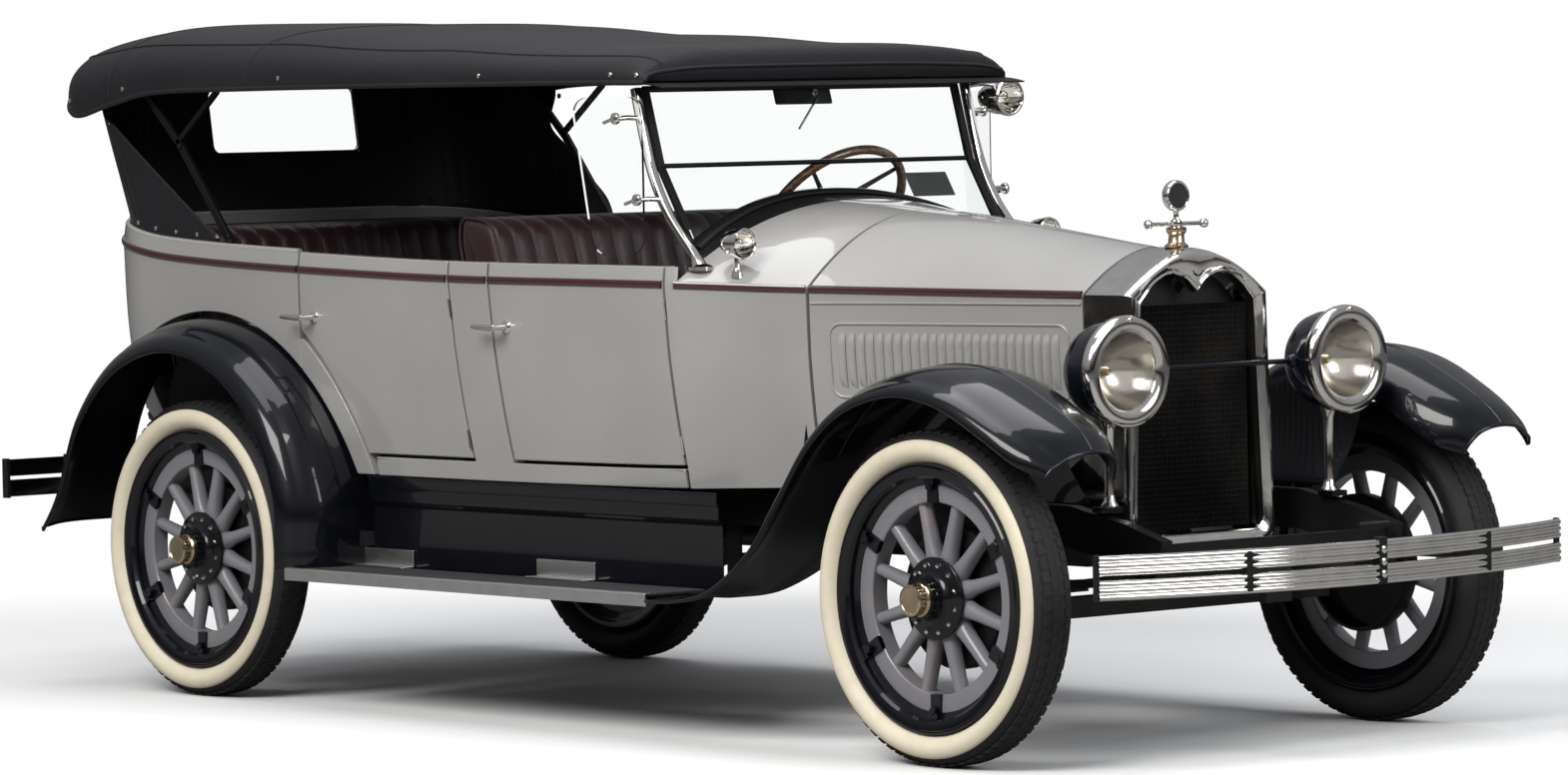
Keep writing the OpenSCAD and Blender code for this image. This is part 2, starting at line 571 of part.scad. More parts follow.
// Ledge from the frame rail up to the hood's lower edge
module hood_ledge() {
    xs = [hood_rear_x, 960, 1220, radiator_x - gap];
    function up(d) = [for (x = xs) [x, -belt_w(x) + 30 + d, hood_low_z - gap]];
    function low(d) = [for (x = xs) [x, -rail_y + 6 + d, 598]];
    shell([low(0), up(0)], [low(6), up(6)]);
}

// ---- frame, axles, springs -------------------------------------------------

RAIL = [[1900, 470], [1780, 505], [1600, 540], [1000, 548], [-900, 548], [-1394, 548],
    [-1700, 544], [-1960, 494]];
rail_t = 34;
// Half length of a cross member, which butts against the rails
member_y = rail_y - rail_t - 0.2;
crank_z = 386;
module frame() color(black) {
    both_sides() {
        side_view(-rail_y, -rail_y + rail_t) polygon(ribbon(RAIL, rail_h));
        box([front_axle_x - 398, -rail_y, 440], [front_axle_x - 372, -rail_y + rail_t, 495]);
        for (x = [-560, 330]) box([x, -370, board_z - 22.8], [x + 50, -362, 499]);
    }
    for (x = [240, -250, -900]) box([x, -member_y, 514], [x + 60, member_y, 584]);
    difference() {
        box([-1940, -member_y, 476], [-1880, member_y, 530]);
        for (s = [-1, 1]) translate([-1950, 90 * s, 503]) rotate([0, 90, 0]) cylinder(h = 90, r = 5);
    }
    difference() {
        union() {
            box([1868, -member_y, 434], [1892, member_y, 506]);
            box([1868, -42, 352], [1892, 42, 440]);
        }
        translate([1860, 0, crank_z]) rotate([0, 90, 0]) cylinder(h = 40, r = 14);
    }
}

king_y = 622;
king_r = 12;
module front_axle() color(black) {
    difference() {
        union() {
            box([front_axle_x - 26, -520, 318], [front_axle_x + 26, 520, 366]);
            both_sides() {
                box([front_axle_x - 18, -king_y, 366], [front_axle_x + 18, -490, 414]);
                translate([front_axle_x, -king_y, 366]) cylinder(h = 48, r = 22);
                box([front_axle_x - 40, -448, 366], [front_axle_x + 40, -392, 385]);
            }
        }
        both_sides() translate([front_axle_x, -king_y, 350]) cylinder(h = 80, r = king_r + 0.3);
    }
}
// Knuckle with its king pin, yoke, stub axle and steering arm, on the right
arm_x = front_axle_x - 195;
arm_y = king_y;
arm_z = 374;
module knuckle() {
    translate([front_axle_x, -king_y, 340]) cylinder(h = 100, r = king_r);
    for (z = [[340, 360], [420, 440]]) {
        translate([front_axle_x, -king_y, z[0]]) cylinder(h = z[1] - z[0], r = 24);
        box([front_axle_x - 24, -king_y - 34, z[0]], [front_axle_x + 24, -king_y, z[1]]);
    }
    box([front_axle_x - 24, -king_y - 46, 340], [front_axle_x + 24, -king_y - 30, 440]);
    translate([front_axle_x, -king_y - 40, tyre_r]) rotate([90, 0, 0]) cylinder(h = 84, r = 17);
    box([arm_x, -arm_y - 10, 340], [front_axle_x - 10, -arm_y + 10, 356]);
    translate([arm_x, -arm_y, 340]) cylinder(h = 16, r = 17);
    translate([arm_x, -arm_y, 348]) cylinder(h = 46, r = 8);
}
module knuckle_right() color(iron) knuckle();
module knuckle_left() color(iron) mirror([0, 1, 0]) knuckle();
module tie_rod() color(iron) difference() {
    union() {
        rod([arm_x, -arm_y + 22, arm_z], [arm_x, arm_y - 22, arm_z], 11);
        both_sides() translate([arm_x, -arm_y, arm_z - 12]) cylinder(h = 24, r = 22);
    }
    both_sides() translate([arm_x, -arm_y, arm_z - 20]) cylinder(h = 40, r = 8.3);
}

// Semi-elliptic springs: axle x, half length, eye height, height at the axle
spring_y = 420;
module spring(x, half, eye_z, low) {
    n = 10;
    side_view(-spring_y - 22, -spring_y + 22) for (leaf = [0 : 3])
        let (h = half * (1 - 0.2 * leaf))
        polygon(ribbon([for (i = [0 : n]) let (u = -1 + 2 * i / n)
            [x + h * u, low + (eye_z - low) * pow(u * h / half, 2) - 7 * leaf]], 7.4));
    for (s = [-1, 1]) translate([x + half * s, -rail_y, eye_z]) rotate([90, 0, 0]) cylinder(h = 49, r = 15);
}
module leaf_springs() color(iron) both_sides() {
    spring(front_axle_x, 385, 456, 410);
    spring(rear_axle_x, 560, 500, 456);
}

module rear_axle() color(black) {
    translate([rear_axle_x, 640, tyre_r]) rotate([90, 0, 0]) cylinder(h = 1280, r = 38);
    translate([rear_axle_x, 0, tyre_r]) sphere(r = 130);
    rod([rear_axle_x, 0, tyre_r], [326, 0, 470], 42);
    both_sides() {
        translate([rear_axle_x, -638, tyre_r]) rotate([90, 0, 0]) cylinder(h = 110, r = 17);
        box([rear_axle_x - 40, -448, 400], [rear_axle_x + 40, -392, 431]);
    }
}

module engine() color(iron) {
    box([770, -150, 560], [1400, 150, 1000]);
    box([780, -130, 420], [1380, 130, 562]);
    box([330, -110, 440], [772, 110, 592]);
}
module exhaust() color(iron) {
    rod([1250, -200, 540], [150, -240, 450], 24);
    rod([150, -240, 436], [-500, -240, 436], 60);
    rod([-498, -240, 436], [-1180, -240, 410], 22);
    box([1200, -224, 530], [1300, -152, 640]);
}
module fuel_tank() color(black)
    side_view(-330, 330) translate([-1724, 500]) rounded(300, 190, 50);
module rounded(w, h, r) translate([-w / 2 + r, -h / 2 + r]) offset(r) square([w - 2 * r, h - 2 * r]);

// ---- bumpers ---------------------------------------------------------------

bumper_z = 462;
bumper_r = 2000;
bar_h = 46;
module bowed_bar(z, half, reach, t, h) {
    a = asin(half / bumper_r);
    pts = [for (i = [-8 : 8]) let (b = a * i / 8) [reach - bumper_r + bumper_r * cos(b), bumper_r * sin(b)]];
    translate([0, 0, z]) linear_extrude(h) polygon(ribbon(pts, t));
}
module front_bumper() color(nickel) {
    for (z = [bumper_z - 52, bumper_z + 4]) bowed_bar(z, 752, 2228, 12, bar_h);
    box([2208, -14, bumper_z - 54], [2240, 14, bumper_z + 58]);
    both_sides() {
        side_view(-394, -358) polygon(ribbon([[1906, 462], [2000, 462], [2100, 462], [2196, 462]], 40));
        box([2172, -752 + 330, bumper_z - 50], [2200, -300, bumper_z + 50]);
        box([2066, -760, bumper_z - 54], [2098, -744, bumper_z + 52]);
    }
}
module rear_bumpers() color(nickel) both_sides() {
    for (z = [500, 556]) box([-2236, -790, z], [-2224, -358, z + bar_h]);
    box([-2240, -800, 496], [-2212, -786, 606]);
    side_view(-394, -360) polygon(ribbon([[-1972, 508], [-2070, 540], [-2226, 550]], 34));
}

// ---- lamps -----------------------------------------------------------------

lamp = [1780, 360, 902];
lamp_r = 130;
module headlamps() color(black) {
    both_sides() {
        translate([lamp[0] - 130, -lamp[1], lamp[2]]) rotate([0, 90, 0]) cylinder(h = 108, r = lamp_r - 14);
        translate([lamp[0] - 24, -lamp[1], lamp[2]]) rotate([0, 90, 0]) cylinder(h = 24, r = lamp_r);
        translate([lamp[0] - 130, -lamp[1], lamp[2]]) rotate([0, -90, 0])
            cylinder(h = 24, r1 = lamp_r - 14, r2 = 70);
        translate([lamp[0] - 76, -lamp[1], 580]) cylinder(h = 220, r = 13);
        side_view(-lamp[1] - 34, -lamp[1] + 16) polygon([[lamp[0] - 100, 574.5], [lamp[0] - 50, 564.5],
            [lamp[0] - 50, 588], [lamp[0] - 100, 588]]);
    }
    rod([lamp[0] - 76, -lamp[1] + 100, lamp[2]], [lamp[0] - 76, lamp[1] - 100, lamp[2]], 9);
}
module cowl_lamps() color(nickel) both_sides() {
    y = 505;
    translate([520, -y, 1206]) rotate([0, 90, 0]) cylinder(h = 62, r = 40);
    translate([520, -y, 1206]) sphere(r = 39);
    rod([535, -y, 1206], [535, -y + 14, 1130], 12);
}
module spot_lamp() color(nickel) {
    translate([176, 694, 1540]) rotate([0, 90, 0]) cylinder(h = 60, r = 50);
    translate([176, 694, 1540]) rotate([0, -90, 0]) cylinder(h = 50, r1 = 48, r2 = 16);
    rod([222, 559, 1570], [194, 690, 1570], 6);
}

// ---- wheels ----------------------------------------------------------------

// A wheel and tyre are drawn at the origin with the axle along y and the outer face to -y
module wheel_shape() {
    rotate([90, 0, 0]) {
        difference() {
            union() {
                rotate_extrude() translate([felloe_r - 44, -24]) square([44, 48]);
                translate([0, 0, -30]) cylinder(h = 60, r = 84);
                for (i = [0 : spokes - 1])
                    rotate([0, 0, 360 * (i + 0.5) / spokes]) translate([70, 0, 0]) rotate([0, 90, 0])
                    cylinder(h = felloe_r - 100, r1 = 21, r2 = 16);
                translate([0, 0, 30]) cylinder(h = 34, r1 = 44, r2 = 38);
                translate([0, 0, 60]) cylinder(h = 46, r = 34);
                rotate_extrude() translate([felloe_r - 1, -40]) square([14, 80]);
            }
            translate([0, 0, -60]) cylinder(h = 106, r = 17.3);
        }
        translate([0, 0, -72]) difference() {
            cylinder(h = 50, r = 168);
            translate([0, 0, -1]) cylinder(h = 42, r = 158);
            cylinder(h = 90, r = 17.3);
        }
    }
}
module tyre_shape() rotate([90, 0, 0]) rotate_extrude($fn = 96) difference() {
    translate([felloe_r + 13 + 42, 0]) scale([0.63, 1]) circle(d = tyre_w, $fn = 40);
    translate([0, -tyre_w]) square([felloe_r + 14, 2 * tyre_w]);
}
module on_wheels(x, s) translate([x, -s * wheel_y, tyre_r]) mirror([0, s < 0 ? 1 : 0, 0]) children();
module front_wheel_right() color(wood_grey) on_wheels(front_axle_x, 1) wheel_shape();
module front_wheel_left() color(wood_grey) on_wheels(front_axle_x, -1) wheel_shape();
module rear_wheel_right() color(wood_grey) on_wheels(rear_axle_x, 1) wheel_shape();
module rear_wheel_left() color(wood_grey) on_wheels(rear_axle_x, -1) wheel_shape();
module front_tyre_right() color(rubber) on_wheels(front_axle_x, 1) tyre_shape();
module front_tyre_left() color(rubber) on_wheels(front_axle_x, -1) tyre_shape();
module rear_tyre_right() color(rubber) on_wheels(rear_axle_x, 1) tyre_shape();
module rear_tyre_left() color(rubber) on_wheels(rear_axle_x, -1) tyre_shape();

// Spare on the tail, facing backwards
spare_x = -2104;
spare_z = 800;
module at_spare() translate([spare_x, 0, spare_z]) rotate([0, 0, -90]) children();
module spare_tyre() color(rubber) at_spare() tyre_shape();
module spare_wheel() color(wood_grey) at_spare() rotate([90, 0, 0]) {
    rotate_extrude() translate([felloe_r - 30, -24]) square([43, 48]);
}
module spare_carrier() color(black) {
    front_view(spare_x + 26, spare_x + 44) difference() {
        translate([0, spare_z]) circle(r = 286);
        translate([0, spare_z]) circle(r = 236);
    }
    for (s = [-1, 1]) {
        box([spare_x + 43, s * 150 - 20, 590], [spare_x + 84, s * 150 + 20, 640]);
        box([spare_x + 70, s * 150 - 20, 486], [spare_x + 84, s * 150 + 20, 640]);
        box([spare_x + 70, s * 150 - 20, 486], [-1940.2, s * 150 + 20, 510]);
    }
}

// ---- steering --------------------------------------------------------------

sw_centre = [-80, 350, 1250];
sw_tilt = 40;
column_len = 890;
module along_column() translate(sw_centre) rotate([0, 90 + sw_tilt, 0]) children();
module steering_column() color(iron) along_column() translate([0, 0, 26]) cylinder(h = column_len, r = 20);
module steering_wheel() color([0.32, 0.2, 0.1]) along_column() {
    rotate_extrude() translate([210, 0]) circle(r = 13, $fn = 24);
    for (a = [45 : 90 : 315])
        rotate([0, 0, a]) translate([0, 0, -6]) rotate([0, 90, 0]) cylinder(h = 205, r = 8);
    translate([0, 0, -22]) cylinder(h = 44, r = 32);
}

// ---- what is drawn ---------------------------------------------------------

frame();
front_axle();
leaf_springs();
rear_axle();
engine();
exhaust();
fuel_tank();
radiator_core();
radiator_shell();
radiator_cap();
hood_right();
hood_left();
cowl();
dashboard();
body_floor();
door_posts();
rear_body();
front_seat();
rear_seat();
windshield_posts();
windshield_frame();
glass_panes();
canopy();
top_bows();
rear_curtain();
front_fenders();
rear_fenders();
running_boards();
splash_aprons();
front_bumper();
rear_bumpers();
headlamps();
cowl_lamps();
spot_lamp();
spare_carrier();
spare_tyre();
spare_wheel();
steering_column();
steering_wheel();
front_door_right();
front_door_left();
rear_door_right();
rear_door_left();
knuckle_right();
knuckle_left();
tie_rod();
front_wheel_right();
front_wheel_left();
rear_wheel_right();
rear_wheel_left();
front_tyre_right();
front_tyre_left();
rear_tyre_right();
rear_tyre_left();
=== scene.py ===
# Looks of a 1920s five-seat touring car, built around its CAD frame. Metres, +X forward, +Z up.
import math
import bpy
import bmesh
import numpy as np
from mathutils import Vector, Matrix


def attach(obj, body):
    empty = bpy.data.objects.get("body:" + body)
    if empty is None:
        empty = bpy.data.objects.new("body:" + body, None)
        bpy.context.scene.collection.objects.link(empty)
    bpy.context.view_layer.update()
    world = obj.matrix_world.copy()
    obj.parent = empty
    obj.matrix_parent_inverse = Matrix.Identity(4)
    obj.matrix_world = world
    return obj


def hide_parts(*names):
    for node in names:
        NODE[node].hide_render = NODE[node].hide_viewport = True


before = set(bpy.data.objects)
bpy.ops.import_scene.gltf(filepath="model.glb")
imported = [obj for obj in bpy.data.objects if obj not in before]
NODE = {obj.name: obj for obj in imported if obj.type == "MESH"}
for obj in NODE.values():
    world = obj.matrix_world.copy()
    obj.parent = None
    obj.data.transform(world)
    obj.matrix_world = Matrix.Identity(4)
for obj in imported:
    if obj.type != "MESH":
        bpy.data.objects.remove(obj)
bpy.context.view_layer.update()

# ---- camera, first ---------------------------------------------------------

SCENE = bpy.context.scene
cam_data = bpy.data.cameras.new("camera")
cam_data.lens = 150.4
cam_data.sensor_width = 36
cam_data.clip_end = 100
cam = bpy.data.objects.new("camera", cam_data)
SCENE.collection.objects.link(cam)
SCENE.camera = cam


def aim(obj, place, azimuth, elevation, roll):
    az, el, ro = (math.radians(a) for a in (azimuth, elevation, roll))
    back = Vector((math.sin(az) * math.cos(el), -math.cos(az) * math.cos(el), math.sin(el)))
    right = (-back).cross(Vector((0, 0, 1))).normalized()
    up = right.cross(-back)
    r2 = math.cos(ro) * right + math.sin(ro) * up
    u2 = -math.sin(ro) * right + math.cos(ro) * up
    turn = Matrix((r2, u2, back)).transposed()
    obj.matrix_world = Matrix.Translation(place) @ turn.to_4x4()


aim(cam, (12.751, -10.753, 1.548), 49.58, 2.53, -1.086)

# ---- shader helper ---------------------------------------------------------


class Sock:
    """An output socket that takes part in arithmetic."""

    def __init__(self, net, out):
        self.net, self.out = net, out

    def _do(self, op, a, b):
        return self.net.node("ShaderNodeMath", {"operation": op}, {0: a, 1: b})

    def __add__(self, o): return self._do("ADD", self, o)
    def __radd__(self, o): return self._do("ADD", o, self)
    def __sub__(self, o): return self._do("SUBTRACT", self, o)
    def __rsub__(self, o): return self._do("SUBTRACT", o, self)
    def __mul__(self, o): return self._do("MULTIPLY", self, o)
    def __rmul__(self, o): return self._do("MULTIPLY", o, self)
    def __truediv__(self, o): return self._do("DIVIDE", self, o)
    def __rtruediv__(self, o): return self._do("DIVIDE", o, self)
    def __pow__(self, o): return self._do("POWER", self, o)
    def min(self, o): return self._do("MINIMUM", self, o)
    def max(self, o): return self._do("MAXIMUM", self, o)
    def mod(self, o): return self._do("MODULO", self, o)
    def abs(self): return self._do("ABSOLUTE", self, 0)
    def sin(self): return self._do("SINE", self, 0)


class Net:
    """A material's node tree with one Principled shader."""

    def __init__(self, name):
        self.mat = bpy.data.materials.new(name)
        self.mat.use_nodes = True
        self.tree = self.mat.node_tree
        self.tree.nodes.clear()
        self.shader = self.tree.nodes.new("ShaderNodeBsdfPrincipled")
        end = self.tree.nodes.new("ShaderNodeOutputMaterial")
        self.tree.links.new(self.shader.outputs[0], end.inputs[0])
        self.place = self.node("ShaderNodeTexCoord", {}, {}, "Object")

    def node(self, kind, settings, inputs, out=0):
        n = self.tree.nodes.new(kind)
        for key, value in settings.items():
            setattr(n, key, value)
        for key, value in inputs.items():
            self.feed(n.inputs[key], value)
        return Sock(self, n.outputs[out])

    def feed(self, socket, value):
        if isinstance(value, Sock):
            self.tree.links.new(value.out, socket)
        else:
            socket.default_value = value

    def set(self, **values):
        for key, value in values.items():
            self.feed(self.shader.inputs[key.replace("_", " ")], value)
        return self.mat

    def axes(self, vector=None):
        n = self.tree.nodes.new("ShaderNodeSeparateXYZ")
        self.feed(n.inputs[0], vector or self.place)
        return [Sock(self, o) for o in n.outputs]

    def scaled(self, x, y, z):
        return self.node("ShaderNodeVectorMath", {"operation": "MULTIPLY"}, {0: self.place, 1: (x, y, z)})

    def noise(self, scale, detail=3, vector=None, rough=0.5):
        return self.node("ShaderNodeTexNoise", {},
                         {"Vector": vector or self.place, "Scale": scale, "Detail": detail,
                          "Roughness": rough})

    def cells(self, scale, vector=None, feature="F1"):
        return self.node("ShaderNodeTexVoronoi", {"feature": feature},
                         {"Vector": vector or self.place, "Scale": scale})

    def ramp(self, value, low, high, to_low=0.0, to_high=1.0):
        return self.node("ShaderNodeMapRange", {"interpolation_type": "SMOOTHSTEP"},
                         {0: value, 1: low, 2: high, 3: to_low, 4: to_high})

    def mix(self, factor, a, b):
        n = self.tree.nodes.new("ShaderNodeMix")
        n.data_type = "RGBA"
        self.feed(n.inputs[0], factor)
        self.feed(n.inputs[6], a if isinstance(a, Sock) else (*a, 1))
        self.feed(n.inputs[7], b if isinstance(b, Sock) else (*b, 1))
        return Sock(self, n.outputs[2])

    def bump(self, height, strength, distance, normal=None):
        inputs = {"Height": height, "Strength": strength, "Distance": distance}
        if normal:
            inputs["Normal"] = normal
        return self.node("ShaderNodeBump", {}, inputs)


def scale_rgb(c, k):
    return tuple(v * k for v in c)


def paint(name, colour, rough=0.28, coat=1.0, dust=0.25, peel=0.03, spec=0.5):
    n = Net(name)
    z = n.axes()[2]
    cloud = n.noise(2.2, 4)
    low = n.ramp(z, 0.75, 0.25) * n.ramp(n.noise(9, 5), 0.35, 0.75) * dust
    tone = n.mix(n.ramp(cloud, 0.3, 0.7), scale_rgb(colour, 0.94), scale_rgb(colour, 1.05))
    dusty = n.mix(low, tone, (0.10, 0.09, 0.08))
    fine = n.noise(420, 2)
    return n.set(Base_Color=dusty, Roughness=rough + low * 0.3 + (cloud - 0.5) * 0.05,
                 Coat_Weight=coat, Coat_Roughness=0.03, IOR=1.5, Specular_IOR_Level=spec,
                 Normal=n.bump(fine, peel, 0.0006))


def metal(name, colour, rough, scratch=0.4, grain=(1, 1, 1)):
    n = Net(name)
    long = n.noise(180, 4, n.scaled(*grain))
    cloud = n.noise(14, 5)
    tone = n.mix(n.ramp(cloud, 0.35, 0.8), colour, scale_rgb(colour, 0.82))
    return n.set(Base_Color=tone, Metallic=1.0, Roughness=rough + n.ramp(long, 0.4, 0.8) * 0.08 * scratch
                 + n.ramp(cloud, 0.45, 0.8) * 0.1, Normal=n.bump(long, 0.05 * scratch, 0.0004))


def cast(name, colour, rough=0.6):
    n = Net(name)
    cloud = n.noise(7, 6)
    pits = n.cells(260)
    grime = n.ramp(n.noise(4, 5), 0.45, 0.75)
    tone = n.mix(grime * 0.6, n.mix(cloud, scale_rgb(colour, 0.75), scale_rgb(colour, 1.2)),
                 (0.06, 0.05, 0.04))
    return n.set(Base_Color=tone, Metallic=0.3, Roughness=rough + grime * 0.2,
                 Normal=n.bump(pits, 0.25, 0.0008))


def hide(name, colour, rough=0.42, grain=220, fold=0.5):
    n = Net(name)
    pores = n.cells(grain)
    fine = n.noise(90, 5)
    wide = n.noise(9, 4, None, 0.6)
    wear = n.ramp(n.noise(5, 4), 0.5, 0.75)
    tone = n.mix(wear * 0.55, scale_rgb(colour, 0.9), scale_rgb(colour, 1.35))
    body = n.bump(wide, 0.25 * fold, 0.006)
    mid = n.bump(fine, 0.2, 0.0012, body)
    return n.set(Base_Color=tone, Roughness=rough + wear * 0.12 + (fine - 0.5) * 0.15,
                 Sheen_Weight=0.1, Normal=n.bump(pores, 0.35, 0.0005, mid))


def clear(name, tint, rough=0.0, flutes=False):
    n = Net(name)
    smear = n.ramp(n.noise(6, 4), 0.55, 0.85)
    y = n.axes()[1]
    normal = n.bump((y * 520).sin(), 0.5, 0.002) if flutes else n.bump(n.noise(3, 1), 0.02, 0.001)
    return n.set(Base_Color=n.mix(smear * 0.3, tint, scale_rgb(tint, 0.94)), Roughness=rough + smear * 0.02,
                 Transmission_Weight=1.0, IOR=1.12 if not flutes else 1.35, Normal=normal)


def rubber(name, colour, rough=0.72):
    n = Net(name)
    dust = n.ramp(n.noise(22, 5), 0.45, 0.75)
    fine = n.noise(300, 3)
    tone = n.mix(dust * 0.3, colour, tuple(0.7 * v + 0.022 for v in colour))
    return n.set(Base_Color=tone, Roughness=rough + dust * 0.15, Normal=n.bump(fine, 0.15, 0.0004))


def timber(name, colour, rough=0.2):
    n = Net(name)
    rings = n.noise(24, 6, n.scaled(1, 1, 6))
    grain = n.noise(160, 4, n.scaled(1, 1, 0.2))
    tone = n.mix(n.ramp(rings, 0.35, 0.65), scale_rgb(colour, 0.55), scale_rgb(colour, 1.3))
    return n.set(Base_Color=n.mix(grain * 0.4, tone, scale_rgb(colour, 0.4)),
                 Roughness=rough + grain * 0.15,
                 Coat_Weight=0.8, Coat_Roughness=0.08, Normal=n.bump(grain, 0.08, 0.0004))


def painted_wood(name, colour):
    n = Net(name)
    grain = n.noise(110, 4, n.scaled(1, 2.5, 1))
    cloud = n.noise(12, 4)
    # Random pinkish-brown patches over the grey: a painted reflection of a pinkish tint.
    pink_reflection = n.ramp(cloud, 0.55, 0.8)
    tone = n.mix(pink_reflection * 0.45, colour, (0.30, 0.235, 0.215))
    return n.set(Base_Color=tone, Roughness=0.34 + cloud * 0.12, Coat_Weight=0.35, Coat_Roughness=0.15,
                 Normal=n.bump(grain, 0.12, 0.0005))


def topping(name, colour):
    n = Net(name)
    weave = n.cells(520)
    crease = n.noise(7, 6, n.scaled(1, 2.2, 1), 0.62)
    fade = n.ramp(n.noise(3.2, 4), 0.4, 0.75)
    tone = n.mix(fade * 0.6, colour, tuple(1.6 * v + 0.001 for v in colour))
    soft = n.bump(crease, 0.5, 0.008)
    return n.set(Base_Color=tone, Roughness=0.58 + fade * 0.12, Sheen_Weight=0.03, Specular_IOR_Level=0.32,
                 Normal=n.bump(weave, 0.3, 0.0005, soft))


GREY = (0.315, 0.308, 0.300)
M = {
    "grey": paint("paint_grey", GREY, 0.3, 1.0, 0.12),
    "black": paint("paint_black", (0.0024, 0.0029, 0.0052), 0.30, 0.62, 0.02, spec=0.12),
    "chassis": paint("paint_chassis", (0.0035, 0.0035, 0.0040), 0.5, 0.1, 0.10, spec=0.25),
    "maroon": paint("paint_maroon", (0.040, 0.009, 0.014), 0.3, 1.0, 0.0),
    "navy": paint("paint_navy_black", (0.0028, 0.0038, 0.0080), 0.25, 0.75, 0.02, spec=0.15),
    "core": cast("radiator_core", (0.0075, 0.0075, 0.0085), 0.55),
    "mirror": metal("reflector_silver", (0.50, 0.47, 0.43), 0.20, 0.2),
    "nickel": metal("metal_nickel", (0.80, 0.78, 0.74), 0.07),
    "alu": metal("metal_alu", (0.74, 0.74, 0.73), 0.3, 1.0, (0.15, 4, 4)),
    "brass": metal("metal_brass", (0.62, 0.50, 0.33), 0.16),
    "iron": cast("cast_iron_dark", (0.020, 0.020, 0.022)),
    "leather": hide("leather_maroon", (0.022, 0.0042, 0.0068)),
    "dark_hide": hide("leather_black", (0.012, 0.012, 0.013), 0.5),
    "glass": clear("glass_pane", (0.96, 0.985, 0.975)),
    "lens": clear("glass_lens", (0.97, 0.97, 0.95), 0.02),
    "tyre": rubber("rubber_tyre", (0.0085, 0.0085, 0.0095)),
    "white": rubber("rubber_cream", (0.72, 0.655, 0.51), 0.55),
    "mat": rubber("rubber_mat", (0.02, 0.02, 0.021), 0.8),
    "spoke": painted_wood("painted_spokes", (0.185, 0.182, 0.200)),
    "wood": timber("timber_rim", (0.21, 0.10, 0.045)),
    # The blue in the top cloth's colour is a painted reflection, standing in for bluish highlights on the
    # top.
    "cloth": topping("top_leathercloth", (0.0040, 0.0044, 0.0060)),
    "lining": topping("top_lining", (0.012, 0.0115, 0.011)),
}

# ---- mesh helpers: every builder gives (points, faces) ----------------------


def join(*parts):
    pts, faces = [], []
    for v, f in parts:
        n = len(pts)
        pts.extend(tuple(map(float, p)) for p in v)
        faces.extend(tuple(i + n for i in q) for q in f)
    return pts, faces


def mir(part):
    v, f = part
    return [(p[0], -p[1], p[2]) for p in v], [q[::-1] for q in f]


def pair(part):
    return join(part, mir(part))


def moved(part, dx=0.0, dy=0.0, dz=0.0):
    return [(p[0] + dx, p[1] + dy, p[2] + dz) for p in part[0]], part[1]


def turned(part, matrix):
    return [tuple(matrix @ Vector(p)) for p in part[0]], part[1]


def grid_faces(m, n, off=0, flip=False, wrap_u=False, wrap_v=False):
    out = []
    for i in range(m if wrap_u else m - 1):
        for j in range(n if wrap_v else n - 1):
            a, b = off + i * n + j, off + i * n + (j + 1) % n
            c, d = off + (i + 1) % m * n + (j + 1) % n, off + (i + 1) % m * n + j
            out.append((d, c, b, a) if flip else (a, b, c, d))
    return out


def shell(outer, inner):
    """A closed solid between two grids of points of the same shape."""
    outer, inner = np.asarray(outer, float), np.asarray(inner, float)
    m, n = outer.shape[:2]
    pts = list(outer.reshape(-1, 3)) + list(inner.reshape(-1, 3))
    off = m * n
    faces = grid_faces(m, n) + grid_faces(m, n, off, True)
    for i in range(m - 1):
        a, b = i * n, (i + 1) * n
        faces.append((b, off + b, off + a, a))
        a, b = i * n + n - 1, (i + 1) * n + n - 1
        faces.append((a, off + a, off + b, b))
    for j in range(n - 1):
        faces.append((j, off + j, off + j + 1, j + 1))
        a = (m - 1) * n + j
        faces.append((a + 1, off + a + 1, off + a, a))
    return pts, faces


def lathe(profile, centre, axis="y", n=64, sign=1):
    """Turns (radius, height) points round an axis through centre; closed when the ends have radius 0."""
    pts, rings = [], []
    for r, h in profile:
        if r < 1e-6:
            rings.append([len(pts)])
            pts.append((0, 0, h))
        else:
            rings.append(list(range(len(pts), len(pts) + n)))
            pts.extend((r * math.cos(2 * math.pi * k / n), r * math.sin(2 * math.pi * k / n), h)
                       for k in range(n))
    faces = []
    for a, b in zip(rings, rings[1:]):
        for k in range(n):
            q = [a[k % len(a)], a[(k + 1) % len(a)], b[(k + 1) % len(b)], b[k % len(b)]]
            q = list(dict.fromkeys(q))
            if len(q) > 2:
                faces.append(tuple(q))
    cx, cy, cz = centre
    order = {"x": lambda p: (p[2] * sign + cx, p[0] + cy, p[1] + cz),
             "y": lambda p: (p[0] + cx, p[2] * sign + cy, p[1] + cz),
             "z": lambda p: (p[0] + cx, p[1] + cy, p[2] * sign + cz)}[axis]
    return [order(p) for p in pts], faces


def ring(profile, centre, axis="y", n=64, sign=1):
    """A turned solid whose outline is a closed loop off the axis."""
    v, f = lathe(list(profile) + [profile[0]], centre, axis, n, sign)
    return v, f


def section(r, n=12, squash=1.0):
    return [(r * math.cos(2 * math.pi * k / n), r * squash * math.sin(2 * math.pi * k / n))
            for k in range(n)]


def sweep(path, outline, up=(0, 0, 1), closed=False, scale=None, caps=True):
    """Carries an outline (side, up) along a path of points."""
    path = [Vector(p) for p in path]
    m, n = len(path), len(outline)
    pts = []
    for i, p in enumerate(path):
        a = path[(i - 1) % m] if closed or i else path[0]
        b = path[(i + 1) % m] if closed or i < m - 1 else path[-1]
        d = (b - a).normalized()
        side = d.cross(Vector(up)).normalized()
        top = side.cross(d)
        k = scale[i] if scale is not None else 1.0
        pts.extend(tuple(p + side * (s * k) + top * (t * k)) for s, t in outline)
    faces = grid_faces(m, n, wrap_u=closed, wrap_v=True)
    if caps and not closed:
        faces += [tuple(range(n)), tuple((m - 1) * n + k for k in range(n))[::-1]]
    return pts, faces


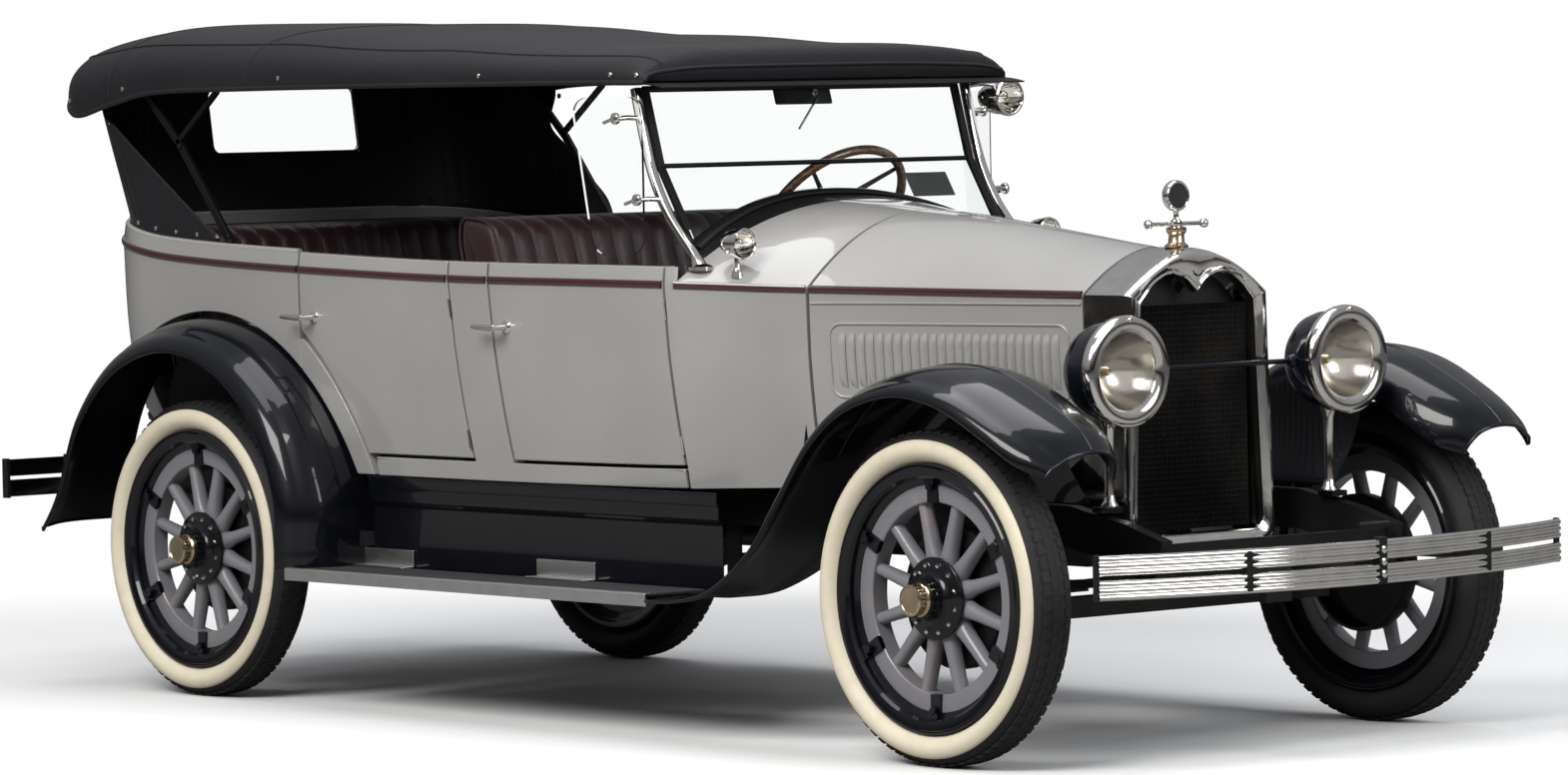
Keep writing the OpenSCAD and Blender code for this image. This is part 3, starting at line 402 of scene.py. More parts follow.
def tube(path, r, n=12, up=(0, 0, 1), closed=False, scale=None):
    return sweep(path, section(r, n), up, closed, scale)


def block(lo, hi):
    (x0, y0, z0), (x1, y1, z1) = lo, hi
    v = [(x, y, z) for x in (x0, x1) for y in (y0, y1) for z in (z0, z1)]
    return v, [(0, 1, 3, 2), (4, 6, 7, 5), (0, 4, 5, 1), (2, 3, 7, 6), (0, 2, 6, 4), (1, 5, 7, 3)]


def plate(outline, step):
    """A flat closed plate: an outline and the same outline moved by step."""
    n = len(outline)
    far = [tuple(a + b for a, b in zip(p, step)) for p in outline]
    walls = [(i, (i + 1) % n, n + (i + 1) % n, n + i) for i in range(n)]
    return list(outline) + far, [tuple(range(n)), tuple(range(2 * n - 1, n - 1, -1))] + walls


def spline(points, per=8):
    """A smooth line through the points, as a list of Vectors."""
    p = [Vector(q) for q in points]
    p = [2 * p[0] - p[1]] + p + [2 * p[-1] - p[-2]]
    out = []
    for i in range(1, len(p) - 2):
        for k in range(per):
            t = k / per
            a, b, c, d = p[i - 1:i + 3]
            out.append(b + t / 2 * (c - a + t * (2 * a - 5 * b + 4 * c - d + t * (3 * (b - c) + d - a))))
    return out + [p[-2]]


def piece(name, body, mat, *parts, angle=35, bevel=0.0, slot=None, replaces=()):
    """Makes an object from parts, merges doubles, turns normals outward, rides it on its body."""
    v, f = join(*parts)
    mesh = bpy.data.meshes.new(name)
    mesh.from_pydata(v, [], f)
    bm = bmesh.new()
    bm.from_mesh(mesh)
    bmesh.ops.remove_doubles(bm, verts=bm.verts, dist=2e-5)
    bmesh.ops.recalc_face_normals(bm, faces=bm.faces)
    bm.to_mesh(mesh)
    bm.free()
    mesh.shade_smooth()
    mesh.set_sharp_from_angle(angle=math.radians(angle))
    mesh.materials.append(M[mat])
    obj = bpy.data.objects.new(name, mesh)
    SCENE.collection.objects.link(obj)
    if bevel:
        mod = obj.modifiers.new("bevel", "BEVEL")
        mod.width, mod.segments, mod.limit_method = bevel, 2, "ANGLE"
        mod.angle_limit = math.radians(40)
        mod.harden_normals = True
    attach(obj, body)
    if replaces:
        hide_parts(*replaces)
    return obj


def pchip(pairs):
    """A smooth curve through (x, y) pairs that doesn't overshoot."""
    x, y = np.array(pairs, float).T
    h, d = np.diff(x), np.diff(y) / np.diff(x)
    s = np.zeros(len(x))
    s[0], s[-1] = d[0], d[-1]
    for i in range(1, len(x) - 1):
        if d[i - 1] * d[i] > 0:
            w0, w1 = 2 * h[i] + h[i - 1], h[i] + 2 * h[i - 1]
            s[i] = (w0 + w1) / (w0 / d[i - 1] + w1 / d[i])

    def at(v):
        v = np.clip(np.asarray(v, float), x[0], x[-1])
        i = np.clip(np.searchsorted(x, v) - 1, 0, len(x) - 2)
        t = (v - x[i]) / h[i]
        return ((1 + 2 * t) * (1 - t) ** 2 * y[i] + t * (1 - t) ** 2 * h[i] * s[i]
                + t * t * (3 - 2 * t) * y[i + 1] + t * t * (t - 1) * h[i] * s[i + 1])
    return at

# ---- body surface ----------------------------------------------------------

WALL, GAP = 0.042, 0.008
AXLE_R, AXLE_F, HUB_Z = -1.394, 1.514, 0.39
FLOOR_Z, DOOR_LOW = 0.600, 0.656
HOOD_REAR, RADIATOR, COWL_REAR = 0.708, 1.490, 0.426
DOOR_TOP, DOOR_ARCH_R, BODY_ARCH_R, WHEEL_Y = 1.110, 0.700, 0.624, 0.711
BELT_W = pchip([(-1.98, .4), (-1.7, .696), (-1.3, .7), (-.3, .7), (.1, .68), (.426, .63), (.56, .528),
                (.708, .412), (1.49, .228)])
BELT_Z = pchip([(-2.0, 1.222), (-1.8, 1.19), (-1.6, 1.16), (-1.34, 1.143), (-.98, 1.128), (-.35, 1.11),
                (.4, 1.10), (.708, 1.084), (1.49, 1.072)])
TUMBLE = pchip([(0, 0), (.3, .004), (.6, .016), (1, .044)])
CROWN = pchip([(.426, .196), (.708, .184), (1.49, .106)])
POWER = pchip([(.708, 2.2), (1.49, 1.75)])


def side_y(x, z):
    """Half width of the body at x and z."""
    s = (BELT_Z(x) - z) / (BELT_Z(x) - FLOOR_Z)
    return BELT_W(x) - np.where(s >= 0, TUMBLE(np.clip(s, 0, 1)), -s * 0.06)


def rim_z(x):
    return BELT_Z(x) + 0.044


def lean(top, low, z):
    return top + (low - top) * np.clip((DOOR_TOP - z) / (DOOR_TOP - DOOR_LOW), 0, 1)


def arch_x(z, r=DOOR_ARCH_R):
    return AXLE_R + np.sqrt(np.maximum(r * r - (z - HUB_Z) ** 2, 0))


def rear_aft(z): return np.maximum(-0.985, arch_x(z))
def rear_fore(z): return lean(-0.358, -0.308, z)
def front_aft(z): return lean(-0.190, -0.144, z)
def front_fore(z): return lean(0.416, 0.438, z)


def side_patch(aft, fore, low, high=None, rows=36, cols=16, wall=WALL, bevel=0.0):
    """Wall panel on the right side between two edge lines; a row keeps its share of the height."""
    outer = np.zeros((rows + 1, cols + 1, 3))
    for i in range(rows + 1):
        z0 = low + (1.15 - low) * i / rows if high is None else low + (high - low) * i / rows
        for j in range(cols + 1):
            x = float(aft(z0) + (fore(z0) - aft(z0)) * j / cols)
            top = rim_z(x) if high is None else high
            z = low + (top - low) * i / rows
            outer[i, j] = x, -side_y(x, z), z
    inner = outer.copy()
    inner[:, :, 1] += wall
    inner[:, :, 0] += bevel * (1 - np.arange(cols + 1) / cols)
    return shell(outer, inner)


def belt_line(x0, x1, n=24, out=0.0, dz=0.0):
    return [(x, -float(side_y(x, BELT_Z(x) + dz)) - out, float(BELT_Z(x)) + dz)
            for x in np.linspace(x0, x1, n)]


BEAD = [(0.0, -0.0095), (0.0032, -0.0085), (0.0050, -0.004), (0.0050, 0.004), (0.0032, 0.0085),
        (0.0, 0.0095), (-0.004, 0.0095), (-0.004, -0.0095)]


def bead(x0, x1, n=24):
    """Half-round belt moulding on the right side."""
    return sweep(belt_line(x0, x1, n), BEAD)


HINGE_LINES = {"rear_door": ((-.3499, -.700, 1.060), (-.3135, -.6755, .730)),
               "front_door": ((.421, -.631, 1.060), (.437, -.597, .730))}


def hinge(line, body, other, name, flip):
    """Barrels on the door and lugs with a pin on the body, in the seam."""
    top, low = Vector(line[0]), Vector(line[1])
    leaf, fixed = [], []

    def at(z):
        return tuple(low + (top - low) * ((z - low.z) / (top.z - low.z)))
    for z in (.705, 1.035):
        leaf.append(tube([at(z - .008), at(z + .016)], .0034, 16, up=(1, 0, 0)))
        for a, b in ((-.023, -.0085), (.0165, .023)):
            fixed.append(tube([at(z + a), at(z + b)], .0034, 16, up=(1, 0, 0)))
        fixed.append(tube([at(z - .022), at(z + .022)], .0018, 10, up=(1, 0, 0)))
    piece(name + "_hinge_leaves", body, "nickel", *[flip(q) for q in leaf], slot="nickel")
    piece(name + "_hinge_pins", other, "nickel", *[flip(q) for q in fixed], slot="nickel")


def handle(x, z):
    """Lever handle: round rose, neck, and a tapered bar pointing rearward."""
    y = -float(side_y(x, z))
    rose = lathe([(0, 0), (.017, 0), (.017, .003), (.013, .006), (.008, .008), (.0065, .040), (.0085, .044),
                  (.0085, .050), (.005, .052), (0, .052)], (x, y + .001, z), "y", 32, -1)
    bar = tube([(x + .006, y - .045, z), (x - .02, y - .046, z), (x - .06, y - .046, z + .001),
                (x - .082, y - .045, z + .002)], 0.0078, 16, scale=[1.0, 1.0, .86, .7])
    return join(rose, bar)


for side, flip in (("right", lambda p: p), ("left", mir)):
    for door, aft, fore, grip in (("rear_door", rear_aft, rear_fore, (-.925, 1.005)),
                                  ("front_door", front_aft, front_fore, (-.125, .990))):
        body = f"{door}_{side}"
        piece(body + "_skin", body, "grey", flip(side_patch(aft, fore, DOOR_LOW, bevel=0.010)),
              bevel=0.0035, slot="body_grey", replaces=(body,))
        x0, x1 = float(aft(1.12)), float(fore(1.12))
        piece(body + "_bead", body, "maroon", flip(bead(x0 + .001, x1 - .001)), slot="belt_maroon")
        piece(body + "_handle", body, "nickel", flip(handle(*grip)), slot="nickel")
        lining = side_patch(lambda z, a=aft: a(z) + .018, lambda z, f=fore: f(z) - .008, DOOR_LOW + .01,
                            1.085, rows=8, cols=10, wall=.004)
        lining = [(p[0], p[1] + WALL + .0005, p[2]) for p in lining[0]], lining[1]
        piece(body + "_lining", body, "leather", flip(lining), bevel=0.0015, slot="leather")
        hinge(HINGE_LINES[door], body, "car", body, flip)

posts = [side_patch(lambda z: rear_fore(z) + GAP, lambda z: front_aft(z) - GAP, 0.644, cols=6)]
sill_x = np.linspace(-.716, .438, 40)
sill = shell([[(x, -float(side_y(x, z)), z) for x in sill_x] for z in (.642, .648)],
             [[(x, -float(side_y(x, z)) + WALL, z) for x in sill_x] for z in (.642, .648)])
lower = shell([[(x, -float(side_y(x, z)), z) for x in sill_x] for z in np.linspace(.600, .642, 5)],
              [[(x, -float(side_y(x, z)) + .01, z) for x in sill_x] for z in np.linspace(.600, .642, 5)])
piece("door_posts_skin", "car", "grey", *[pair(p) for p in posts + [sill, lower]], bevel=0.003,
      slot="body_grey", replaces=("door_posts",))
piece("post_bead", "car", "maroon", pair(bead(-.349, -.199, 8)), slot="belt_maroon")

# Rear body: the grid runs round from the right door to the left one
CORNER, BODY_END = 0.300, -1.980


def rear_plan(t, inset):
    """Point of the plan outline; t runs 0-1 along the side, 1-2 round the corner, 2-3 to the middle."""
    w, r = .7 - inset, CORNER - inset
    if t <= 1:
        return -.993 + (BODY_END + CORNER + .993) * t, -w
    if t <= 2:
        a = math.pi / 2 * (t - 1)
        return BODY_END + CORNER - r * math.sin(a), -(.7 - CORNER) - r * math.cos(a)
    return BODY_END + inset, -(.7 - CORNER) * (3 - t)


def rear_low(x):
    d, r = abs(x - AXLE_R), BODY_ARCH_R
    return max(FLOOR_Z, HUB_Z + math.sqrt(max(r * r - d * d, 0))) if d < r else FLOOR_Z


def rear_point(t, f, inset):
    side = -1 if t > 3 else 1
    t = 6 - t if t > 3 else t
    x0 = rear_plan(t, 0)[0]
    z = rear_low(x0) + (float(rim_z(x0)) - rear_low(x0)) * f
    share = (float(BELT_Z(x0)) - z) / (float(BELT_Z(x0)) - FLOOR_Z)
    tuck = float(TUMBLE(min(share, 1))) if share >= 0 else -share * .06
    x, y = rear_plan(t, inset + tuck * (1 + 1.2 * min(max(t - 1, 0), 1)))
    return x, y * side, z


ts = np.concatenate([np.linspace(0, 1, 41), np.linspace(1, 2, 17)[1:], np.linspace(2, 3, 7)[1:]])
ts = np.concatenate([ts, 6 - ts[-2::-1]])
fs = np.linspace(0, 1, 25)
rear_skin = shell([[rear_point(t, f, 0) for t in ts] for f in fs],
                  [[rear_point(t, f, WALL) for t in ts] for f in fs])
quarter = side_patch(lambda z: np.maximum(arch_x(z, BODY_ARCH_R), -.9935), lambda z: arch_x(z) - GAP,
                     0.601, 0.948, rows=30, cols=4)
piece("rear_body_skin", "car", "grey", rear_skin, pair(quarter), bevel=0.003, slot="body_grey",
      replaces=("rear_body",), angle=50)


def rear_belt():
    pts = []
    for t in ts:
        tt = t if t <= 3 else 6 - t
        x0 = rear_plan(tt, 0)[0]
        x, y = rear_plan(tt, 0)
        pts.append((x, y if t <= 3 else -y, float(BELT_Z(x0))))
    return pts


piece("rear_bead", "car", "maroon", sweep(rear_belt(), [(-s, t) for s, t in BEAD]), slot="belt_maroon")

# ---- cowl and hood ---------------------------------------------------------


def crown_z(x, y):
    return BELT_Z(x) + CROWN(x) * (1 - np.minimum(np.abs(y) / BELT_W(x), 1) ** POWER(x))


def cross_section(x, w_in, low, n=48, side_n=12):
    """Right half of the section from low up the side and over to the centre."""
    pts = []
    for i in range(side_n):
        z = low + (float(BELT_Z(x)) - w_in - low) * i / side_n
        pts.append((x, -float(side_y(x, z)) + w_in, z))
    w = float(BELT_W(x))
    for i in range(n + 1):
        y = -math.cos(math.pi / 2 * i / n) * (w - w_in)
        pts.append((x, y, float(crown_z(x, y * w / (w - w_in))) - w_in))
    return pts


def full_section(x, w_in, low):
    half = cross_section(x, w_in, low)
    return half + [(p[0], -p[1], p[2]) for p in half[-2::-1]]


xs = np.linspace(.446, .700, 24)
piece("cowl_skin", "car", "grey", shell([full_section(x, 0, FLOOR_Z) for x in xs],
                                        [full_section(x, .010, FLOOR_Z) for x in xs]),
      bevel=0.002, slot="body_grey", replaces=("cowl",), angle=50)
x = .668
w = float(BELT_W(x)) - .03
wall = [(x, w * math.cos(a), float(BELT_Z(x)) - .03 + .16 * math.sin(a))
        for a in np.linspace(0, math.pi, 40)]
wall = wall + [(x, -w, .63), (x, w, .63)]
piece("firewall", "car", "chassis", plate(wall, (.014, 0, 0)), slot="chassis_black")
piece("cowl_bead", "car", "maroon", pair(bead(.447, .699, 16)), slot="belt_maroon")
piece("cowl_side", "car", "grey",
      pair(side_patch(lambda z: front_fore(z) + GAP, lambda z: 0.4465 + 0 * z, DOOR_LOW, rows=24, cols=2,
                      wall=.012)), bevel=.0015, slot="body_grey")
crown_ends = [float(crown_z(x, 0)) for x in (HOOD_REAR, RADIATOR)]


def hinge_line_z(x):
    """Height of the straight line over the middle of the hood."""
    return crown_ends[0] + (crown_ends[1] - crown_ends[0]) * (x - HOOD_REAR) / (RADIATOR - HOOD_REAR)


piece("hood_rod", "car", "nickel", tube([(x, 0, hinge_line_z(x)) for x in (.704, 1.4896)], .0025, 12),
      slot="nickel")

HOOD_X = np.linspace(HOOD_REAR, RADIATOR - GAP, 40)
HOOD_LOW = 0.722


def hood_section(x, t):
    half = [p for p in cross_section(x, t, HOOD_LOW, 40, 24) if p[1] < -.004]
    half.append((x, -.003, float(crown_z(x, 0)) - t))
    # both halves can stand open at 60 degrees without meeting
    return [(px, py, min(pz, hinge_line_z(x) + (.5 * abs(py) - .0012) / .866)) for px, py, pz in half]


rows_n = min(len(hood_section(x, 0)) for x in HOOD_X)
hood = shell([hood_section(x, 0)[:rows_n - 1] + hood_section(x, 0)[-1:] for x in HOOD_X],
             [hood_section(x, .006)[:rows_n - 1] + hood_section(x, .006)[-1:] for x in HOOD_X])


def louvre(x, z0, z1):
    """One pressed louvre: a bulge that opens rearward."""
    rows = []
    for j, z in enumerate(np.linspace(z0, z1, 13)):
        f = 1 - abs(2 * j / 12 - 1) ** 5
        y = -float(side_y(x, z))
        rows.append([(x - .0085, y + .0005, z), (x - .0085, y - .0085 * f, z), (x - .005, y - .010 * f, z),
                     (x + .002, y - .007 * f, z), (x + .0085, y + .0005, z)])
    return [p for row in rows for p in row], grid_faces(len(rows), len(rows[0]))


def louvres():
    return [louvre(x, .845, .978) for x in np.linspace(.790, 1.405, 25)]


def louvre_frame():
    """Shallow raised line round the louvres."""
    pts = []
    x0, x1, z0, z1, r = .757, 1.440, .822, 1.000, .030
    for cx, cz, a0 in ((x1 - r, z1 - r, 0), (x0 + r, z1 - r, 90), (x0 + r, z0 + r, 180),
                       (x1 - r, z0 + r, 270)):
        for k in range(7):
            a = math.radians(a0 + 15 * k)
            px, pz = cx + r * math.cos(a), cz + r * math.sin(a)
            pts.append((px, -float(side_y(px, pz)), pz))
    dense = []
    for a, b in zip(pts, pts[1:] + pts[:1]):
        n = max(1, int(math.dist(a, b) / .03))
        for k in range(n):
            q = [a[c] + (b[c] - a[c]) * k / n for c in range(3)]
            q[1] = -float(side_y(q[0], q[2]))
            dense.append(q)
    return sweep(dense, section(.0035, 8), up=(0, 1, 0), closed=True)


for side, flip in (("right", lambda p: p), ("left", mir)):
    body = f"hood_{side}"
    piece(body + "_skin", body, "grey", flip(hood), bevel=0.0015, slot="body_grey", replaces=(body,),
          angle=60)
    piece(body + "_louvres", body, "grey", *[flip(p) for p in louvres() + [louvre_frame()]],
          slot="body_grey", angle=60)
    piece(body + "_bead", body, "maroon", flip(bead(.709, 1.481, 40)), slot="belt_maroon")
    low = [(x, -float(side_y(x, 1.052)) - .0015, 1.050) for x in np.linspace(.712, 1.478, 30)]
    piece(body + "_crease", body, "grey", flip(tube(low, .0028, 8)), slot="body_grey")
    catch = [lathe([(0, 0), (.012, 0), (.012, .004), (.006, .008), (.006, .016), (.011, .018), (.011, .024),
                    (0, .026)], (x, -float(side_y(x, .745)) + .001, .745), "y", 24, -1)
             for x in (.84, 1.36)]
    piece(body + "_catches", body, "nickel", *[flip(p) for p in catch], slot="nickel")

# ---- fenders ---------------------------------------------------------------


def catmull(tab, t):
    """Row of the table at position t, smoothly between the rows."""
    tab = np.asarray(tab, float)
    last = len(tab) - 1
    i = min(int(t), last - 1)
    f = t - i
    a, b, c, d = tab[max(i - 1, 0)], tab[i], tab[i + 1], tab[min(i + 2, last)]
    return b + f / 2 * (c - a + f * (2 * a - 5 * b + 4 * c - d + f * (3 * (b - c) + d - a)))


# Outer lip: x, z, crown rise, inner y, outer y
FRONT_LIP = [(.6, .352, .004, .66, .858), (.7, .356, .006, .65, .858), (.83, .386, .016, .61, .858),
             (.975, .482, .028, .56, .858), (1.09, .62, .038, .52, .858), (1.2, .752, .044, .506, .858),
             (1.33, .84, .046, .502, .858), (1.5, .88, .046, .502, .858), (1.66, .86, .05, .504, .856),
             (1.8, .795, .056, .512, .846), (1.9, .735, .06, .53, .828), (1.96, .7, .044, .57, .79)]
REAR_LIP = [(AXLE_R + r * math.cos(math.radians(a)) - s, HUB_Z + r * math.sin(math.radians(a)) + s, h, .596,
             .858)
            for a, r, h, s in ((178, .556, .026, .02), (165, .52, .04, 0), (140, .524, .054, 0),
                               (115, .538, .06, 0), (90, .548, .062, 0), (65, .552, .064, 0),
                               (40, .552, .066, 0), (18, .54, .068, 0), (2, .52, .07, 0), (-3, .52, .07, 0))]
# Share of the crown rise from the inner edge (0) to the outer lip (1)
FRONT_ACROSS = pchip([(0, -.7), (.05, .1), (.16, .70), (.34, .98), (.45, 1.02), (.52, 1.0), (.66, .90),
                      (.80, .62), (.865, .36), (.885, .30), (.94, .16), (.985, -.10), (1, -.35)])
REAR_ACROSS = pchip([(0, 1.0), (.2, 1.0), (.4, .98), (.6, .88), (.76, .68), (.86, .42), (.88, .38),
                     (.94, .2), (.985, -.1), (1, -.35)])


def fender_point(tab, across, t, u, drop=0.0):
    """Point of a fender: t rows along its lip, share u across it, drop below the surface."""
    last = len(tab) - 1
    a, b = catmull(tab, max(t - .02, 0)), catmull(tab, min(t + .02, last))
    row = catmull(tab, t)
    d = np.array([b[0] - a[0], b[1] - a[1]])
    n = np.array([-d[1], d[0]]) / np.linalg.norm(d)
    h = float(across(u)) * row[2] - drop
    return row[0] + n[0] * h, -(row[3] + (row[4] - row[3]) * u), row[1] + n[1] * h


def fender(tab, across, steps, cols, t0=0.0):
    tt = np.linspace(t0, len(tab) - 1, steps)
    uu = np.concatenate([np.linspace(0, .84, cols)[:-1], np.linspace(.84, 1, 14)])
    return shell([[fender_point(tab, across, t, u) for u in uu] for t in tt],
                 [[fender_point(tab, across, t, u, .0022) for u in uu] for t in tt])


def lip_roll(tab, across, steps, t0=0.0):
    path = [fender_point(tab, across, t, 1, .002) for t in np.linspace(t0, len(tab) - 1, steps)]
    return tube([(x, y + .0042, z) for x, y, z in path], .0042, 10, up=(0, 1, 0))


def crown_bead(tab, across, steps, u, t0, t1):
    """Slim raised line along the crown."""
    return tube([fender_point(tab, across, t, u, .0012) for t in np.linspace(t0, t1, steps)], .0036, 8,
                up=(0, 1, 0))


front = fender(FRONT_LIP, FRONT_ACROSS, 90, 26)
nose = tube([fender_point(FRONT_LIP, FRONT_ACROSS, 11, u, .002) for u in np.linspace(0, 1, 30)], .0042, 10)
skirt_t = np.linspace(3.4, 8.2, 50)


def skirt_row(f, d):
    out = []
    for t in skirt_t:
        x, y, z = fender_point(FRONT_LIP, FRONT_ACROSS, t, 0)
        bow = .02 * math.sin(math.pi * f)
        out.append((x, y * f - .399 * (1 - f) - bow, z * f + .599 * (1 - f) - d))
    return out


skirt = shell([skirt_row(f, 0) for f in np.linspace(0, 1, 14)],
              [skirt_row(f, .003) for f in np.linspace(0, 1, 14)])
piece("front_fender_skins", "car", "black",
      *[pair(p) for p in (front, lip_roll(FRONT_LIP, FRONT_ACROSS, 120), nose, skirt,
                          crown_bead(FRONT_LIP, FRONT_ACROSS, 90, .45, 4.4, 10.85))],
      slot="fender_black", replaces=("front_fenders",), angle=50)
rear = fender(REAR_LIP, REAR_ACROSS, 80, 22)
tail_row = [fender_point(REAR_LIP, REAR_ACROSS, 0, u, .002) for u in np.linspace(0, 1, 30)]
tail = tube([(x, max(y, -.8538), z) for x, y, z in tail_row], .0042, 10)
piece("rear_fender_skins", "car", "black",
      *[pair(p) for p in (rear, lip_roll(REAR_LIP, REAR_ACROSS, 110), tail)],
      slot="fender_black", replaces=("rear_fenders",), angle=50)

# ---- running boards and aprons ----------------------------------------------

deck = block((-.860, -.846, .340), (.596, -.636, .362))
piece("running_board_decks", "car", "black", pair(deck), bevel=.003, slot="fender_black",
      replaces=("running_boards",))
ribs = [block((-.850, y, .3615), (.588, y + .0065, .3652)) for y in np.arange(-.838, -.652, .0125)]
piece("running_board_mats", "car", "mat", *[pair(p) for p in ribs], bevel=.001, slot="tyre")
edge = sweep([(-.862, -.850, .352), (.600, -.850, .352)],
             [(.006, -.016), (.006, .013), (.003, .0155), (-.012, .0155), (-.012, .0125), (.001, .0125),
              (.001, -.016)])
piece("running_board_edges", "car", "alu", pair(edge), bevel=.0008, slot="aluminium")
kicks = []
for x0, x1 in ((-.832, -.599), (-.091, .142)):
    kicks.append(block((x0, -.6395, .366), (x1, -.6350, .410)))
    kicks.append(block((x0, -.678, .3655), (x1, -.6370, .3690)))
piece("kick_plates", "car", "alu", *[pair(p) for p in kicks], bevel=.0018, slot="aluminium")
brackets = [block((x, -.640, .336), (x + .05, -.33, .343)) for x in (-.56, .33)]
piece("board_brackets", "car", "chassis", *[pair(p) for p in brackets], bevel=.001, slot="chassis_black")

APRON = [(-.634, .345), (-.634, .515), (-.637, .524), (-.6445, .529), (-.6465, .534), (-.6465, .556),
         (-.648, .566), (-.652, .572), (-.652, .598)]
apron_x = np.linspace(-.770, .630, 30)
apron = shell([[(x, y, z) for x in apron_x] for y, z in APRON],
              [[(x, y + .004, z) for x in apron_x] for y, z in APRON])
ledge_x = np.linspace(HOOD_REAR, RADIATOR - GAP, 24)


def ledge(d):
    return [[(x, (-.389 + d) * (1 - f) + (-float(BELT_W(x)) + .03 + d) * f, .598 + .115 * f)
             for x in ledge_x] for f in np.linspace(0, 1, 6)]


piece("apron_skins", "car", "black", pair(apron), pair(shell(ledge(0), ledge(.004))), bevel=.0012,
      slot="fender_black", replaces=("splash_aprons",), angle=50)

# ---- wheels and tyres ------------------------------------------------------


# Radius and offset of the rim's outline
RIM = [(.2635, -.028), (.2635, .028), (.279, .0335), (.2785, .047), (.284, .0545), (.292, .0565),
       (.3035, .0575), (.3095, .053), (.3075, .047), (.2965, .0455), (.290, .036), (.290, -.036),
       (.2965, -.0455), (.3075, -.047), (.3095, -.053), (.3035, -.0575), (.292, -.0565), (.284, -.052),
       (.279, -.0335)]
TYRE_MID, TYRE_RISE, TYRE_HALF, TYRE_INNER = .3475, .0405, .0675, .306
TREAD_COUNT = 76


def tyre_parts(centre, sign):
    """Casing, cream side band and tread of a tyre; the outer face looks to -sign*y."""
    def side(angle):
        a = math.radians(angle)
        return TYRE_MID + TYRE_RISE * math.sin(a), TYRE_HALF * math.cos(a)

    right = [side(a) for a in (-52, -35, -15, 0, 15, 30, 45, 58)]
    tread = [(.3845, .036), (.3862, .030), (.3875, .020), (.3885, .008), (.3885, -.008), (.3875, -.020),
             (.3862, -.030), (.3845, -.036)]
    left = [(r, -h) for r, h in right[::-1]]
    prof = [(TYRE_INNER, .050), (.311, .0575)] + right + tread + left + [(.311, -.0575), (TYRE_INNER, -.050)]
    casing = ring(prof, centre, "y", 160, -sign)
    band = []
    for a in np.linspace(-66, 33, 20):
        s = side(a)
        g = .0016 if -64 < a < 31 else -.0012
        band.append((s[0] + math.sin(math.radians(a)) * g, s[1] + math.cos(math.radians(a)) * g * 1.2))
    back = [(r * .998 + .0006, h - .004) for r, h in band[::-1]]
    cream = ring(band + back, centre, "y", 160, -sign)
    blocks = []
    pitch = 2 * math.pi / TREAD_COUNT
    for k in range(TREAD_COUNT):
        for h0, h1, shift in ((-.0395, -.0215, 0), (-.0175, -.0035, .5), (.0035, .0175, 0),
                              (.0215, .0395, .5)):
            c0, w = (k + shift) * pitch, .36 * pitch
            pts = []
            for h, da in ((h0, -w), (h0, w * .8), (h1, w), (h1, -w * .8)):
                for r in (.3835 if abs(h) > .02 else .3860, .3896 - (.0022 if abs(h) > .03 else 0)):
                    pts.append((centre[0] + r * math.cos(c0 + da), centre[1] + h,
                                centre[2] + r * math.sin(c0 + da)))
            blocks.append((pts, [(0, 2, 3, 1), (2, 4, 5, 3), (4, 6, 7, 5), (6, 0, 1, 7), (1, 3, 5, 7)]))
    return casing, cream, join(*blocks)


def spoke(k, n, centre, sign):
    """Spoke k of n, drawn out along its radius from rounded rectangles."""
    a = 2 * math.pi * (k + .5) / n
    rows = []
    stations = ((.070, .0240, .020), (.092, .0235, .0215), (.110, .0185, .0215), (.135, .0165, .0205),
                (.180, .0150, .0185), (.225, .0145, .0175), (.243, .0160, .0180), (.256, .0200, .0200))
    ca, sa = math.cos(a), math.sin(a)
    for r, wide, deep in stations:
        ringp = []
        for q in range(16):
            b = 2 * math.pi * q / 16
            u = wide * math.copysign(abs(math.cos(b)) ** .85, math.cos(b))
            h = deep * math.copysign(abs(math.sin(b)) ** .85, math.sin(b))
            ringp.append((centre[0] + r * ca - u * sa, centre[1] - sign * h, centre[2] + r * sa + u * ca))
        rows.append(ringp)
    m, w = len(rows), 16
    caps = [tuple(range(w)), tuple((m - 1) * w + q for q in range(w))[::-1]]
    return [p for r in rows for p in r], grid_faces(m, w, wrap_v=True) + caps


